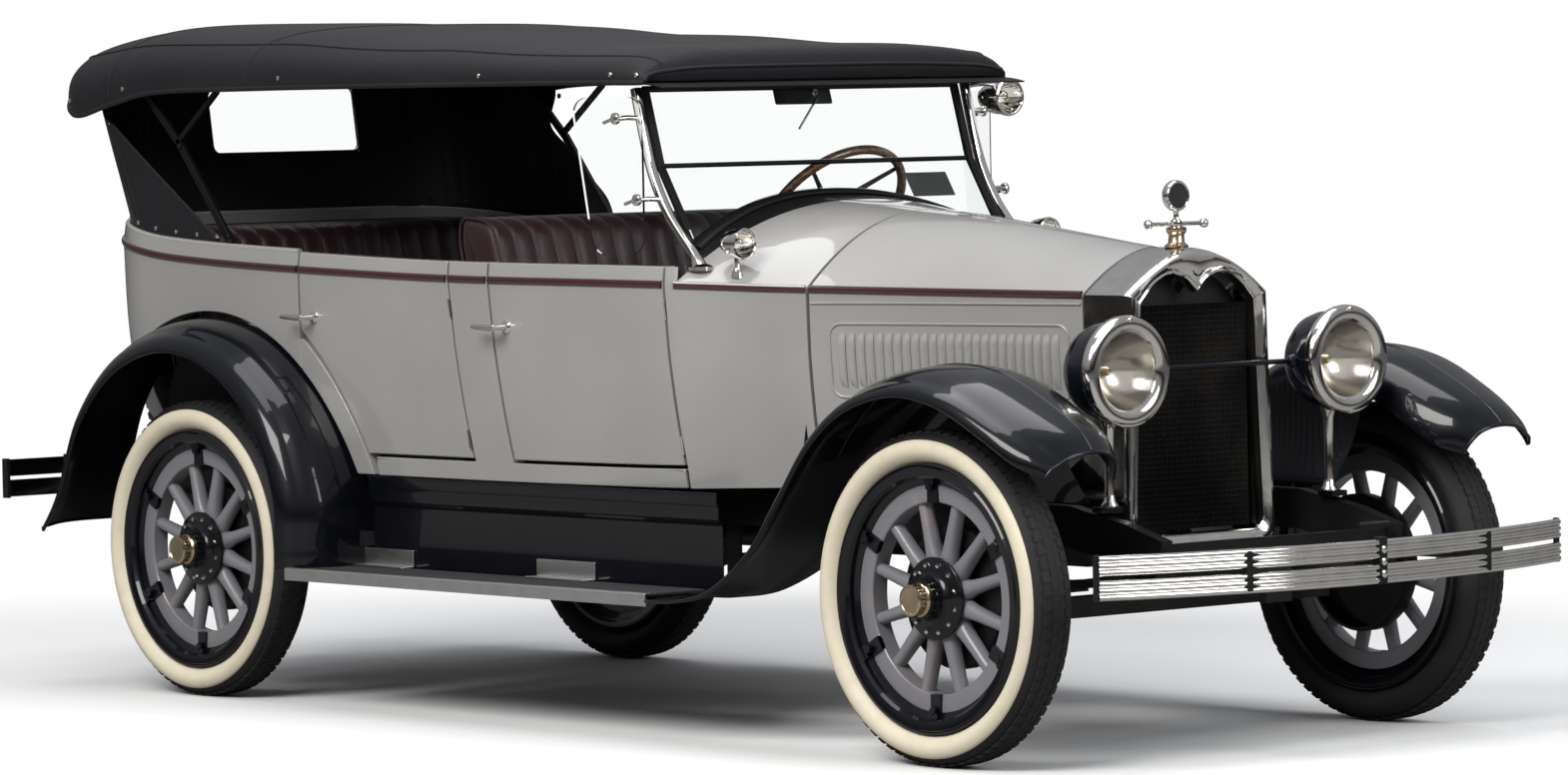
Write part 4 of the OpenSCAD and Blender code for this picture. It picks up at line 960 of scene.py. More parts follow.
def wheel(name, body, c, sign, node, tyre_node):
    """A 12-spoke wooden wheel round c; sign 1 has its outer face to -y."""
    casing, cream, blocks = tyre_parts(c, sign)
    piece(name + "_tyre", body, "tyre", casing, blocks, slot="tyre", replaces=(tyre_node,), angle=30)
    piece(name + "_whitewall", body, "white", cream, slot="whitewall", angle=60)
    spokes = [spoke(k, 12, c, sign) for k in range(12)]
    felloe = ring([(.222, -.0215), (.222, .0215), (.2245, .0240), (.2590, .0262), (.2640, .025),
                   (.2640, -.025), (.2590, -.0262), (.2245, -.0240)], c, "y", 120, -sign)
    piece(name + "_spokes", body, "spoke", felloe, *spokes, slot="spoke_grey", replaces=(node,), angle=40)
    rim = ring(RIM, c, "y", 120, -sign)
    lugs = []
    for k in range(6):
        a = math.radians(60 * k + 30)
        m = Matrix.Translation(c) @ Matrix.Rotation(-a, 4, "Y")
        s = -sign
        lug = [block((.2215, s * .018, -.017), (.2795, s * .0315, .017)),
                 block((.2640, s * .030, -.016), (.2900, s * .042, .016)),
                 lathe([(0, .034), (.0105, .034), (.0105, .043), (.0085, .045), (0, .045)], (.259, 0, 0),
                       "y", 6, s)]
        lugs += [turned(p, m) for p in lug]
    parts = [rim] + lugs
    parts.append(lathe([(0, .0235), (.0945, .0235), (.0965, .026), (.0960, .0305), (.0930, .0325),
                        (.064, .034), (.0520, .039), (.0475, .046), (.0455, .064), (.0455, .072),
                        (0, .072)], c, "y", 72, -sign))
    parts.append(lathe([(0, -.0235), (.0945, -.0235), (.0960, -.027), (.0930, -.032), (0, -.032)], c,
                       "y", 72, -sign))
    piece(name + "_irons", body, "black", *parts, slot="fender_black", angle=35, bevel=0.0)
    bolts = []
    for k in range(12):
        a = math.radians(30 * k + 15)
        at = (c[0] + .0795 * math.cos(a), c[1], c[2] + .0795 * math.sin(a))
        bolts.append(lathe([(0, .030), (.0068, .030), (.0068, .0365), (.0058, .0385), (0, .0395)], at,
                           "y", 6, -sign))
    piece(name + "_bolts", body, "nickel", *bolts, slot="nickel", angle=30)
    cap = lathe([(0, .070), (.0385, .070), (.0395, .073), (.0395, .077), (.0360, .080), (.0345, .084),
                 (.0345, .100), (.0365, .102), (.0365, .1045), (.0300, .1065), (.0285, .1050),
                 (0, .1045)], c, "y", 48, -sign)
    flats = []
    for k in range(24):
        a = 2 * math.pi * k / 24
        m = Matrix.Translation(c) @ Matrix.Rotation(-a, 4, "Y")
        flats.append(turned(block((.0335, -sign * .0850, -.0022), (.0358, -sign * .0990, .0022)), m))
    piece(name + "_cap", body, "brass", cap, *flats, slot="brass", angle=35)
    d = ring([(.020, -.026), (.160, -.026), (.1655, -.028), (.168, -.033), (.168, -.0665),
              (.1655, -.072), (.158, -.072), (.158, -.037), (.020, -.034)], c, "y", 96, -sign)
    piece(name + "_drum", body, "chassis", d, slot="chassis_black")


for side, sign in (("right", 1), ("left", -1)):
    for end, axle_x in (("front", AXLE_F), ("rear", AXLE_R)):
        wheel(f"{end}_{side}", f"{end}_wheel_{side}", (axle_x, -WHEEL_Y * sign, HUB_Z), sign,
              f"{end}_wheel_{side}", f"{end}_tyre_{side}")

# ---- radiator --------------------------------------------------------------


def repeated(name, body, mat, size, count, start, step, bevel=0.0):
    """A row of equal blocks, made by Geometry Nodes and kept as a plain mesh."""
    tree = bpy.data.node_groups.new(name, "GeometryNodeTree")
    for label, kind in (("size", "NodeSocketVector"), ("count", "NodeSocketInt"),
                        ("start", "NodeSocketVector"), ("step", "NodeSocketVector")):
        tree.interface.new_socket(label, in_out="INPUT", socket_type=kind)
    tree.interface.new_socket("mesh", in_out="OUTPUT", socket_type="NodeSocketGeometry")
    ends = tree.nodes.new("NodeGroupInput"), tree.nodes.new("NodeGroupOutput")
    cube, line = tree.nodes.new("GeometryNodeMeshCube"), tree.nodes.new("GeometryNodeMeshLine")
    spread = tree.nodes.new("GeometryNodeInstanceOnPoints")
    real = tree.nodes.new("GeometryNodeRealizeInstances")
    finish = tree.nodes.new("GeometryNodeSetMaterial")
    finish.inputs["Material"].default_value = M[mat]
    for a, b in ((ends[0].outputs[0], cube.inputs["Size"]), (ends[0].outputs[1], line.inputs["Count"]),
                 (ends[0].outputs[2], line.inputs["Start Location"]),
                 (ends[0].outputs[3], line.inputs["Offset"]),
                 (line.outputs[0], spread.inputs["Points"]), (cube.outputs[0], spread.inputs["Instance"]),
                 (spread.outputs[0], real.inputs[0]), (real.outputs[0], finish.inputs[0]),
                 (finish.outputs[0], ends[1].inputs[0])):
        tree.links.new(a, b)
    seed = bpy.data.objects.new(name + "_seed", bpy.data.meshes.new(name + "_seed"))
    SCENE.collection.objects.link(seed)
    mod = seed.modifiers.new("repeat", "NODES")
    mod.node_group = tree
    for item, value in zip([i for i in tree.interface.items_tree if i.in_out == "INPUT"],
                           (size, count, start, step)):
        mod[item.identifier] = value
    mesh = bpy.data.meshes.new_from_object(seed.evaluated_get(bpy.context.evaluated_depsgraph_get()))
    bpy.data.objects.remove(seed)
    mesh.name = name
    obj = bpy.data.objects.new(name, mesh)
    SCENE.collection.objects.link(obj)
    if not mesh.materials:
        mesh.materials.append(M[mat])
    if bevel:
        mod = obj.modifiers.new("bevel", "BEVEL")
        mod.width, mod.segments = bevel, 1
    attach(obj, body)
    return obj


SHELL_LOW = 0.470
LOBES = pchip([(0, 1.073), (.012, 1.084), (.04, 1.107), (.085, 1.117), (.13, 1.101), (.183, 1.052)])


def front_outline(w_low, w_top, low, top_of, r=0.034, n_top=49):
    """Closed outline seen from the front: bottom, right side, top and left side."""
    pts = [(0, low)]
    half = [((w_low - r) * k / 6, low) for k in range(1, 7)]
    half += [(w_low - r + r * math.sin(a), low + r - r * math.cos(a))
             for a in np.linspace(.15, math.pi / 2, 6)]
    z_top = top_of(w_top)
    half += [(w_low + (w_top - w_low) * k / 10, low + r + (z_top - low - r) * k / 10) for k in range(1, 10)]
    top = [(w_top * math.cos(a), top_of(abs(w_top * math.cos(a)))) for a in np.linspace(0, math.pi, n_top)]
    return pts + half + top + [(-y, z) for y, z in half[::-1]]


def shell_crown(y):
    return 1.072 + .106 * (1 - min(y / .228, 1) ** 1.75)


outer = front_outline(.246, .230, SHELL_LOW, shell_crown)
inner = front_outline(.206, .183, SHELL_LOW + .036, lambda y: float(LOBES(y)))
rows = []
for s, x in ((0, 1.4905), (0, 1.606), (.03, 1.622), (.10, 1.634), (.22, 1.6405), (.40, 1.642),
             (.62, 1.6385), (.80, 1.634), (.90, 1.6365), (.97, 1.6345), (1.0, 1.629), (1.0, 1.610),
             (.96, 1.600), (.55, 1.598), (.10, 1.596), (.04, 1.590), (.04, 1.4905)):
    rows.append([(x, a[0] + (b[0] - a[0]) * s, a[1] + (b[1] - a[1]) * s) for a, b in zip(outer, inner)])
shell_mesh = ([p for r in rows for p in r], grid_faces(len(rows), len(outer), wrap_u=True, wrap_v=True))
emblem = lathe([(0, .001), (.019, .001), (.0195, .003), (.0185, .005), (.016, .0055), (.0155, .0045),
                (0, .0052)], (1.634, 0, 1.129), "x", 40)
piece("radiator_shell_skin", "car", "nickel", shell_mesh, slot="nickel", replaces=("radiator_shell",),
      angle=32)
piece("radiator_badge", "car", "iron", emblem, slot="iron")
back_plate = front_outline(.200, .178, SHELL_LOW + .04, lambda y: float(LOBES(y)) - .004)
piece("radiator_core_body", "car", "core", plate([(1.570, y, z) for y, z in back_plate], (-.058, 0, 0)),
      slot="iron", replaces=("radiator_core",))
repeated("radiator_fins", "car", "core", (.034, .0012, .530), 47, (1.588, -.184, .778), (0, .008, 0))
repeated("radiator_tubes", "car", "core", (.030, .368, .0022), 40, (1.586, 0, .520), (0, 0, .013))
hose_neck = lathe([(0, 0), (.028, 0), (.0285, .005), (.0225, .009), (.0195, .013), (.0185, .030),
                   (.0225, .035), (.0245, .040), (.0240, .047), (.0130, .051), (.0105, .056),
                   (.0105, .066), (0, .066)], (1.566, 0, 1.1775), "z", 48)
piece("cap_base", "car", "brass", hose_neck, slot="brass", replaces=("radiator_cap",))
tee = [tube([(1.566, -.088, 1.2335), (1.566, .088, 1.2335)], .0048, 16),
        lathe([(0, -.006), (.013, -.006), (.015, 0), (.013, .008), (0, .009)], (1.566, 0, 1.2335), "z", 32)]
for s in (-1, 1):
    tee.append(lathe([(0, 0), (.0065, 0), (.0105, .004), (.0115, .009), (.0105, .014), (.006, .018),
                      (0, .019)], (1.566, s * .082, 1.2335), "y", 24, s))
tee.append(lathe([(0, 0), (.0085, 0), (.0065, .008), (.0060, .020), (.0085, .026), (.0085, .032),
                  (0, .032)], (1.566, 0, 1.240), "z", 24))
tee.append(ring([(.030, -.010), (.0345, -.011), (.0365, -.007), (.0365, .007), (.0345, .011), (.030, .010)],
                 (1.566, 0, 1.300), "x", 48))
piece("cap_bar", "car", "nickel", *tee, slot="nickel")
piece("cap_gauge", "car", "iron",
      lathe([(0, -.0085), (.030, -.0085), (.0305, 0), (.030, .0085), (0, .0085)], (1.566, 0, 1.300), "x",
            40), slot="iron")

# ---- lamps -----------------------------------------------------------------

LAMP = (1.780, -0.360, 0.902)


def headlamp(flip, tag):
    """Drum, rim, reflector, bulb and lens, on a post from the fender."""
    drum = lathe([(0, -.154), (.030, -.153), (.062, -.147), (.088, -.133), (.105, -.112), (.1135, -.086),
                  (.1155, -.055), (.1160, -.022), (.1130, -.020), (.1080, -.024), (.104, -.070),
                  (.090, -.105), (.05, -.130), (0, -.138)], LAMP, "x", 72)
    foot = block((1.680, -.394, .5745), (1.730, -.344, .588))
    arm = tube([(1.704, -.262, .902), (1.704, 0, .902)], .0062, 14)
    boss = lathe([(0, 0), (.015, 0), (.017, .004), (.015, .010), (.009, .018), (0, .018)],
                 (1.704, -.247, .902), "y", 24)
    piece(f"headlamp_{tag}_drum", "car", "navy", flip(drum), slot="fender_black", angle=30)
    piece(f"headlamp_{tag}_mount", "car", "black", flip(foot), flip(arm), flip(boss), slot="fender_black",
          bevel=.001)
    rim = ring([(.1165, -.036), (.1195, -.035), (.1205, -.028), (.1290, -.026), (.1305, -.018),
                (.1300, -.009), (.1270, -.0025), (.1190, .0010), (.1080, .0018), (.0980, -.0010),
                (.0910, -.0060), (.0875, -.0120), (.0880, -.0150), (.0960, -.0130), (.1120, -.0180),
                (.1165, -.0240)], LAMP, "x", 96)
    post = lathe([(0, 0), (.021, 0), (.021, .004), (.015, .012), (.0115, .030), (.0105, .110),
                  (.0125, .175), (.0200, .200), (.0230, .206), (0, .206)], (1.704, LAMP[1],
                  .588), "z", 36)
    stud = lathe([(0, 0), (.0052, 0), (.0060, .004), (.0040, .008), (0, .009)], (1.7785, LAMP[1], 1.0225),
                 "x", 16)
    piece(f"headlamp_{tag}_rim", "car", "nickel", flip(rim), flip(post), flip(stud), slot="nickel",
          angle=40)
    dish = lathe([(.010, -.088), (.030, -.083), (.052, -.068), (.070, -.047), (.082, -.026), (.0885, -.012),
                  (.0905, -.013), (.085, -.028), (.073, -.050), (.054, -.072), (.031, -.087),
                  (.010, -.0925), (.010, -.088)], LAMP, "x", 72)
    piece(f"headlamp_{tag}_reflector", "car", "mirror", flip(dish), slot="nickel")
    bulb = lathe([(0, -.100), (.011, -.100), (.011, -.076), (.0075, -.070), (0, -.0695)], LAMP, "x", 24)
    ball = lathe([(0, -.0690)] + [(.0125 * math.sin(a), -.0560 - .0125 * math.cos(a)) for a in
                                  np.linspace(.5, math.pi - .1, 10)] + [(0, -.0435)], LAMP, "x", 24)
    piece(f"headlamp_{tag}_socket", "car", "brass", flip(bulb), slot="brass")
    piece(f"headlamp_{tag}_bulb", "car", "glass", flip(ball), slot="glass")
    glass = lathe([(0, -.0035), (.030, -.0040), (.060, -.0062), (.080, -.0090), (.0880, -.0110),
                   (.0880, -.0135), (.0780, -.0118), (.050, -.0085), (0, -.0065)], LAMP, "x", 72)
    piece(f"headlamp_{tag}_lens", "car", "lens", flip(glass), slot="lens",
          replaces=("headlamps",) if tag == "right" else ())


for tag, flip in (("right", lambda p: p), ("left", mir)):
    headlamp(flip, tag)


def small_lamp(flip, tag, at, r, length):
    """Bullet lamp facing forward: shell, rim and lens."""
    back = [(0, -length), (r * .30, -length * .985), (r * .60, -length * .90), (r * .84, -length * .70),
            (r * .95, -length * .45), (r * .97, -.012), (r * .90, -.010), (r * .84, -.03),
            (0, -length * .8)]
    rim = ring([(r * .97, -.014), (r * 1.04, -.012), (r * 1.06, -.004), (r * 1.02, .002), (r * .92, .004),
                (r * .86, .001), (r * .85, -.004), (r * .92, -.010)], at, "x", 56)
    piece(f"{tag}_shell", "car", "nickel", flip(lathe(back, at, "x", 56)), flip(rim), slot="nickel",
          angle=40)
    glass = lathe([(0, .0020), (r * .45, .0008), (r * .86, -.0025), (r * .86, -.0050), (0, -.0015)], at,
                  "x", 48)
    piece(f"{tag}_lens", "car", "lens", flip(glass), slot="lens")


for tag, flip in (("right", lambda p: p), ("left", mir)):
    small_lamp(flip, f"cowl_lamp_{tag}", (.580, -.505, 1.196), .037, .075)
    z_foot = float(crown_z(.545, .500))
    stem = lathe([(0, -.010), (.017, -.010), (.015, .003), (.010, .008), (.008, .014), (.008, .040),
                  (0, .040)], (.545, -.500, z_foot), "z", 32)
    piece(f"cowl_lamp_{tag}_stem", "car", "nickel", flip(stem), slot="nickel",
          replaces=("cowl_lamps",) if tag == "right" else ())
small_lamp(lambda p: p, "spot_lamp", (.232, .694, 1.540), .047, .100)
piece("spot_lamp_stalk", "car", "nickel",
      tube(spline([(.222, .559, 1.570), (.216, .60, 1.574), (.200, .66, 1.574), (.192, .688, 1.568)], 5),
           .0058, 14),
      lathe([(0, 0), (.011, 0), (.011, .020), (.008, .024), (0, .024)], (.192, .690, 1.560), "z", 24),
      slot="nickel", replaces=("spot_lamp",))

# ---- bumpers ---------------------------------------------------------------


def ribbed(height, thick=.010, ribs=3, n=8):
    """Outline of a bumper bar with rounded ribs on its outer face."""
    pts = [(-thick * .5, height / 2), (-thick * .5, -height / 2)]
    for k in range(ribs):
        for j in range(n + 1):
            f = j / n
            pts.append((thick * (-.1 + .6 * math.sin(math.pi * f) ** .7),
                        -height / 2 + height * (k + f) / ribs))
    return pts


BUMPER_R = 2.0
arc = [(2.228 - BUMPER_R + BUMPER_R * math.cos(b), BUMPER_R * math.sin(b), 0)
       for b in np.linspace(-math.asin(.376), math.asin(.376), 45)]
bars = [moved(sweep(arc, ribbed(.046)), dz=z) for z in (.433, .489)]
piece("front_bumper_bars", "car", "nickel", *bars, slot="nickel", replaces=("front_bumper",), angle=50)
clip = [block((2.214, -.013, .409), (2.2340, .013, .518)), block((2.206, -.020, .450), (2.216, .020, .472))]
irons = [block((2.150, -.398, .415), (2.196, -.330, .507))]
arm_side = ((1.906, .442), (2.0, .442), (2.155, .442), (2.155, .482), (2.0, .482), (1.906, .482))
irons.append(plate([(x, -.394, z) for x, z in arm_side], (0, .036, 0)))
irons.append(block((2.066, -.758, .408), (2.078, -.746, .514)))
piece("front_bumper_irons", "car", "chassis", *clip, *[pair(p) for p in irons], slot="chassis_black",
      bevel=.0022)
studs = [lathe([(0, 0), (.009, 0), (.009, .003), (.006, .005), (0, .006)], (2.2335, 0, z), "x", 24)
         for z in (.433, .461, .489)]
piece("front_bumper_bolts", "car", "nickel", *studs, slot="nickel")
rear_bars = [moved(sweep([(-2.230, -.360, 0), (-2.230, -.790, 0)], ribbed(.046)), dz=z)
             for z in (.523, .579)]
piece("rear_bumper_bars", "car", "nickel", *[pair(p) for p in rear_bars], slot="nickel",
      replaces=("rear_bumpers",), angle=50)
rear_side = ((-1.972, .491), (-2.07, .523), (-2.224, .533), (-2.224, .567), (-2.07, .557), (-1.972, .525))
rear_irons = [block((-2.236, -.598, .494), (-2.214, -.572, .608)),
              block((-2.238, -.798, .497), (-2.214, -.786, .605)),
              plate([(x, -.394, z) for x, z in rear_side], (0, .034, 0))]
piece("rear_bumper_irons", "car", "chassis", *[pair(p) for p in rear_irons], slot="chassis_black",
      bevel=.002)

# ---- windshield ------------------------------------------------------------

# x and z of a windshield post from its foot to its top
POST = [(.452, 1.135), (.428, 1.172), (.385, 1.215), (.335, 1.270), (.296, 1.330), (.270, 1.386),
        (.250, 1.450), (.228, 1.530), (.216, 1.578)]
PANE_MID, PANE_TOP, PANE_LOW = (.273, 1.386), (.217, 1.576), (.392, 1.200)
PANE_W = .505
post_path = spline([(x + .006, -.545, z) for x, z in POST], 5)
oval = [(.0115 * math.copysign(abs(math.cos(a)) ** .6, math.cos(a)),
         .0115 * math.copysign(abs(math.sin(a)) ** .6, math.sin(a)))
        for a in np.linspace(0, 2 * math.pi, 24, endpoint=False)]
grow = [1 + .75 * max(0, 1 - i / 5) ** 1.5 for i in range(len(post_path))]
post = sweep(post_path, oval, up=(1, 0, 0), scale=grow)
foot = lathe([(0, -.008), (.034, -.008), (.033, .002), (.024, .008), (0, .010)], (.462, -.545, 1.139), "z",
             40)
arms = []
for z in (1.305, 1.505):
    x = float(np.interp(z, [p[1] for p in POST], [p[0] for p in POST]))
    arms.append(tube([(x + .006, -.550, z), (x - .004, -.578, z + .002), (x - .012, -.607, z)], .0062, 14))
    arms.append(lathe([(0, 0), (.013, 0), (.0145, .004), (.0145, .010), (.010, .013), (0, .014)],
                      (x - .014, -.604, z), "y", 28, -1))
    arms.append(tube([(x - .014, -.616, z), (x - .050, -.618, z - .010)], .0042, 12))
piece("windshield_post_tubes", "car", "nickel", pair(post), pair(foot), *[pair(a) for a in arms],
      slot="nickel", replaces=("windshield_posts",), angle=50)


def pane_x(z):
    a, b = (PANE_LOW, PANE_MID) if z < PANE_MID[1] else (PANE_MID, PANE_TOP)
    return a[0] + (b[0] - a[0]) * (z - a[1]) / (b[1] - a[1])


def strip(y0, y1, z0, z1, deep, out=0.0):
    """A slat that follows the pane between two heights."""
    return ([(pane_x(z) + d + out, y, z) for y in (y0, y1) for z in (z0, z1)
             for d in (-deep / 2, deep / 2)],
            [(0, 1, 3, 2), (4, 6, 7, 5), (0, 4, 5, 1), (2, 3, 7, 6), (0, 2, 6, 4), (1, 5, 7, 3)])


bars = [tube([(x, -PANE_W - .012, z), (x, PANE_W + .012, z)], r, 14)
        for (x, z), r in ((PANE_MID, .0062), (PANE_TOP, .0085))]
for z0, z1 in ((1.230, 1.386), (1.386, 1.580)):
    bars.append(pair(strip(-PANE_W - .016, -PANE_W + .002, z0, z1, .016)))
roll_pts = []
for y in np.linspace(-PANE_W - .012, PANE_W + .012, 49):
    z0 = float(crown_z(COWL_REAR, y)) + .014
    roll_pts.append((pane_x(min(z0 + .01, 1.38)) + .004, y, z0))
bars.append(sweep(roll_pts, [(a * 1.9, b * .9) for a, b in section(.0125, 16)]))
apron_in = [(p[0] + .012, p[1], p[2] - .004) for p in roll_pts]
apron_out = [(.447, p[1], float(crown_z(.447, p[1])) + .0015) for p in roll_pts]
bars.append(shell([apron_in, apron_out],
                  [[(x, y, z - .003) for x, y, z in r] for r in (apron_in, apron_out)]))
piece("windshield_bars", "car", "chassis", *bars, slot="iron", replaces=("windshield_frame",), angle=50,
      bevel=.0008)
piece("wiper_motor", "car", "iron", strip(-.060, .100, 1.531, 1.572, .040, -.030), slot="iron", bevel=.004)
piece("wiper_arm", "car", "nickel", tube([(.246, .015, 1.560), (.262, .012, 1.548), (.268, -.055, 1.470)],
                                         .003, 8),
      lathe([(0, 0), (.009, 0), (.009, .010), (0, .012)], (.240, .015, 1.560), "x", 20), slot="nickel")
piece("dark_plate", "car", "iron", strip(.275, .415, 1.292, 1.352, .003, -.008), slot="iron", bevel=.0008)


def pane(z0_of, z1, n=33):
    ys = np.linspace(-PANE_W + .002, PANE_W - .002, n)
    rows = [[(pane_x(z0_of(y) + (z1 - z0_of(y)) * k), y, z0_of(y) + (z1 - z0_of(y)) * k) for y in ys]
            for k in (0, 1)]
    return shell(rows, [[(x - .005, y, z) for x, y, z in r] for r in rows])


def wing_outline(lo, hi, z0, z1, r, n=8):
    """Rounded pane between two plan points; seen from the side it narrows a little downwards."""
    pts = []
    length = math.dist(lo, hi)
    for cx, cz, a0 in ((length - r, z1 - r, 0), (r, z1 - r, 90), (r * 1.15, z0 + r, 180),
                       (length - r, z0 + r, 270)):
        for k in range(n):
            a = math.radians(a0 + 90 * k / (n - 1))
            s, z = cx + r * math.cos(a), cz + r * math.sin(a)
            s = min(s + (.050 if s < length / 2 else .0) * (z1 - z) / (z1 - z0), length)
            pts.append((lo[0] + (hi[0] - lo[0]) * s / length, lo[1] + (hi[1] - lo[1]) * s / length, z))
    return pts


wing = wing_outline((.092, -.640), (.285, -.574), 1.168, 1.558, .045)
wing_mesh = plate(wing, (-.0018, -.0052, 0))


BACK_X, BACK_TOP = -1.958, 1.655
BACK_LOW = float(rim_z(BACK_X)) + .008


def curtain_glass_x(z):
    """x of the rear curtain's middle at height z."""
    return BACK_X - .062 * (z - BACK_LOW) / (BACK_TOP - BACK_LOW)


def rounded_rect(y1, z0, z1, r, x_of, n=8):
    pts = []
    for cy, cz, a0 in ((y1 - r, z1 - r, 0), (-y1 + r, z1 - r, 90), (-y1 + r, z0 + r, 180),
                       (y1 - r, z0 + r, 270)):
        for k in range(n):
            a = math.radians(a0 + 90 * k / (n - 1))
            y, z = cy + r * math.cos(a), cz + r * math.sin(a)
            pts.append((x_of(z), y, z))
    return pts


window = rounded_rect(.247, 1.425, 1.601, .022, lambda z: curtain_glass_x(z) + .003)
window_mesh = plate(window, (.003, 0, 0))
piece("windshield_panes", "car", "glass", pane(lambda y: PANE_MID[1] + .006, 1.569),
      pane(lambda y: float(crown_z(COWL_REAR, y)) + .026, PANE_MID[1] - .006), slot="glass",
      replaces=("glass_panes",))
piece("wind_wings", "car", "glass", pair(wing_mesh), slot="glass")
piece("rear_window_pane", "car", "glass", window_mesh, slot="glass")
seam_frame = tube(rounded_rect(.252, 1.420, 1.606, .026, curtain_glass_x), .0065, 10, up=(1, 0, 0),
                  closed=True)

# ---- folding top -----------------------------------------------------------

# Stations: x, half width, z of the side edge, z of the crown
TOP = [(-2.072, .560, 1.622, 1.626), (-2.088, .606, 1.612, 1.664), (-2.080, .650, 1.584, 1.712),
       (-2.034, .688, 1.552, 1.750), (-1.960, .702, 1.536, 1.768), (-1.800, .708, 1.566, 1.778),
       (-1.600, .706, 1.594, 1.776), (-1.200, .700, 1.598, 1.765), (-.700, .690, 1.598, 1.735),
       (-.200, .668, 1.596, 1.708), (.150, .630, 1.594, 1.690), (.270, .612, 1.592, 1.681),
       (.308, .600, 1.592, 1.664), (.322, .594, 1.594, 1.630), (.318, .588, 1.596, 1.600)]
BOW_X = (.240, -.420, -1.080, -1.780)


def top_point(t, a, inset=0.0):
    """Point of the top at station t and angle a across (0 at the left edge, pi at the right one)."""
    x, w, edge, crown = catmull(TOP, t)
    c, s = math.cos(a), max(math.sin(a), 0)
    w -= inset
    sag = sum(math.exp(-((x - b) / .16) ** 2) for b in BOW_X)
    taut = .006 * (sag - 1) * s ** .5 if -1.9 < x < .2 else 0
    crease = .0016 * math.sin(9 * a + 5 * x) * math.sin(7 * x + 3) * s * (1 - .6 * s)
    y = -w * math.copysign(abs(c) ** .55, c) if abs(c) > 1e-6 else 0.0
    rise = max(crown - inset - edge, .001)
    dx = inset if x < -2.04 else -inset if x > .30 else 0
    return x + dx, y, edge + (rise - .0025) * s ** .62 + min(taut, 0) + crease


T_STEPS = np.concatenate([np.linspace(0, 5, 40)[:-1], np.linspace(5, 10, 60)[:-1], np.linspace(10, 14, 28)])
A_STEPS = math.pi * (1 - (1 + np.cos(np.linspace(0, math.pi, 65))) / 2)
top_skin = shell([[top_point(t, a) for a in A_STEPS] for t in T_STEPS],
                 [[top_point(t, a, .0026) for a in A_STEPS] for t in T_STEPS])
canopy_piece = piece("canopy_cloth", "car", "cloth", top_skin, slot="top_cloth", replaces=("canopy",),
                     angle=70)
lining_skin = shell([[top_point(t, a, .0060) for a in A_STEPS[1:-1:2]] for t in T_STEPS[4:-6]],
                    [[top_point(t, a, .0075) for a in A_STEPS[1:-1:2]] for t in T_STEPS[4:-6]])
canopy_lining = piece("canopy_lining", "car", "lining", lining_skin, slot="top_cloth", angle=70)


def edge_line(a, t0=0.0, t1=14.0, n=120, inset=0.0):
    return [top_point(t, a, inset) for t in np.linspace(t0, t1, n)]


hem = [sweep(edge_line(a, .2, 12.6), section(.0042, 10, 1.6)) for a in (0.0, math.pi)]
welts = [tube(edge_line(a, 1.2, 12.2), .0034, 8) for a in (.62, math.pi - .62)]
cross = [tube([top_point(t, a, -.0002) for a in np.linspace(.02, math.pi - .02, 60)], .0026, 8,
              up=(1, 0, 0))
         for t in (4.9, 7.0)]
header = tube([top_point(12.9, a, .001) for a in np.linspace(.02, math.pi - .02, 60)], .0052, 10,
              up=(1, 0, 0))
piece("canopy_binding", "car", "cloth", *hem, *welts, *cross, header, slot="top_cloth", angle=60)
SNAP = [(0, 0), (.0062, 0), (.0058, .003), (.003, .0048), (0, .005)]
snaps = []
for t in (1.4, 3.2, 5.3, 7.3, 8.9, 10.4, 11.6):
    for a in (.02, math.pi - .02):
        x, y, z = top_point(t, a)
        snaps.append(lathe(SNAP, (x, y, z + .012), "y", 16, 1 if y > 0 else -1))
piece("canopy_snaps", "car", "nickel", *snaps, slot="nickel")
visor_rows = [[(x, y, 1.5905 - .010 * ((x - .322) / .070) ** 1.5) for y in np.linspace(-.600, .600, 31)]
              for x in np.linspace(.322, .392, 7)]
piece("visor", "car", "chassis",
      shell(visor_rows, [[(x, y, z - .004) for x, y, z in r] for r in visor_rows]),
      slot="fender_black", bevel=.001)


BOW_FOOT = 1.600


def bow(x, w, z):
    """A hoop under the top: x, half width and height of its crown."""
    upper, under = [], []
    for a in np.linspace(0, math.pi, 49):
        c, s = math.cos(a), max(math.sin(a), 0)
        for side, dw, dz in ((upper, 0, 0), (under, .020, .022)):
            side.append((x, (w - dw) * (math.copysign(abs(c) ** .55, c) if abs(c) > 1e-6 else 0),
                         BOW_FOOT + (z - dz - BOW_FOOT) * s ** .62))
    return shell([[(x - .013, y, level) for _, y, level in upper],
                  [(x + .013, y, level) for _, y, level in upper]],
                 [[(x - .013, y, level) for _, y, level in under],
                  [(x + .013, y, level) for _, y, level in under]])


def flat_bar(a, b, y, wide, thick=.012):
    """A flat iron between two (x, z) points at a given y, with rounded ends."""
    d = Vector((b[0] - a[0], b[1] - a[1])).normalized()
    n = Vector((-d[1], d[0])) * wide / 2
    pts = []
    for end, away in ((b, 1), (a, -1)):
        for k in range(9):
            t = math.pi * k / 8
            pts.append((end[0] + away * (d[0] * math.sin(t) * wide / 2 + n[0] * math.cos(t)),
                        end[1] + away * (d[1] * math.sin(t) * wide / 2 + n[1] * math.cos(t))))
    return plate([(x, y, z) for x, z in pts], (0, thick, 0))


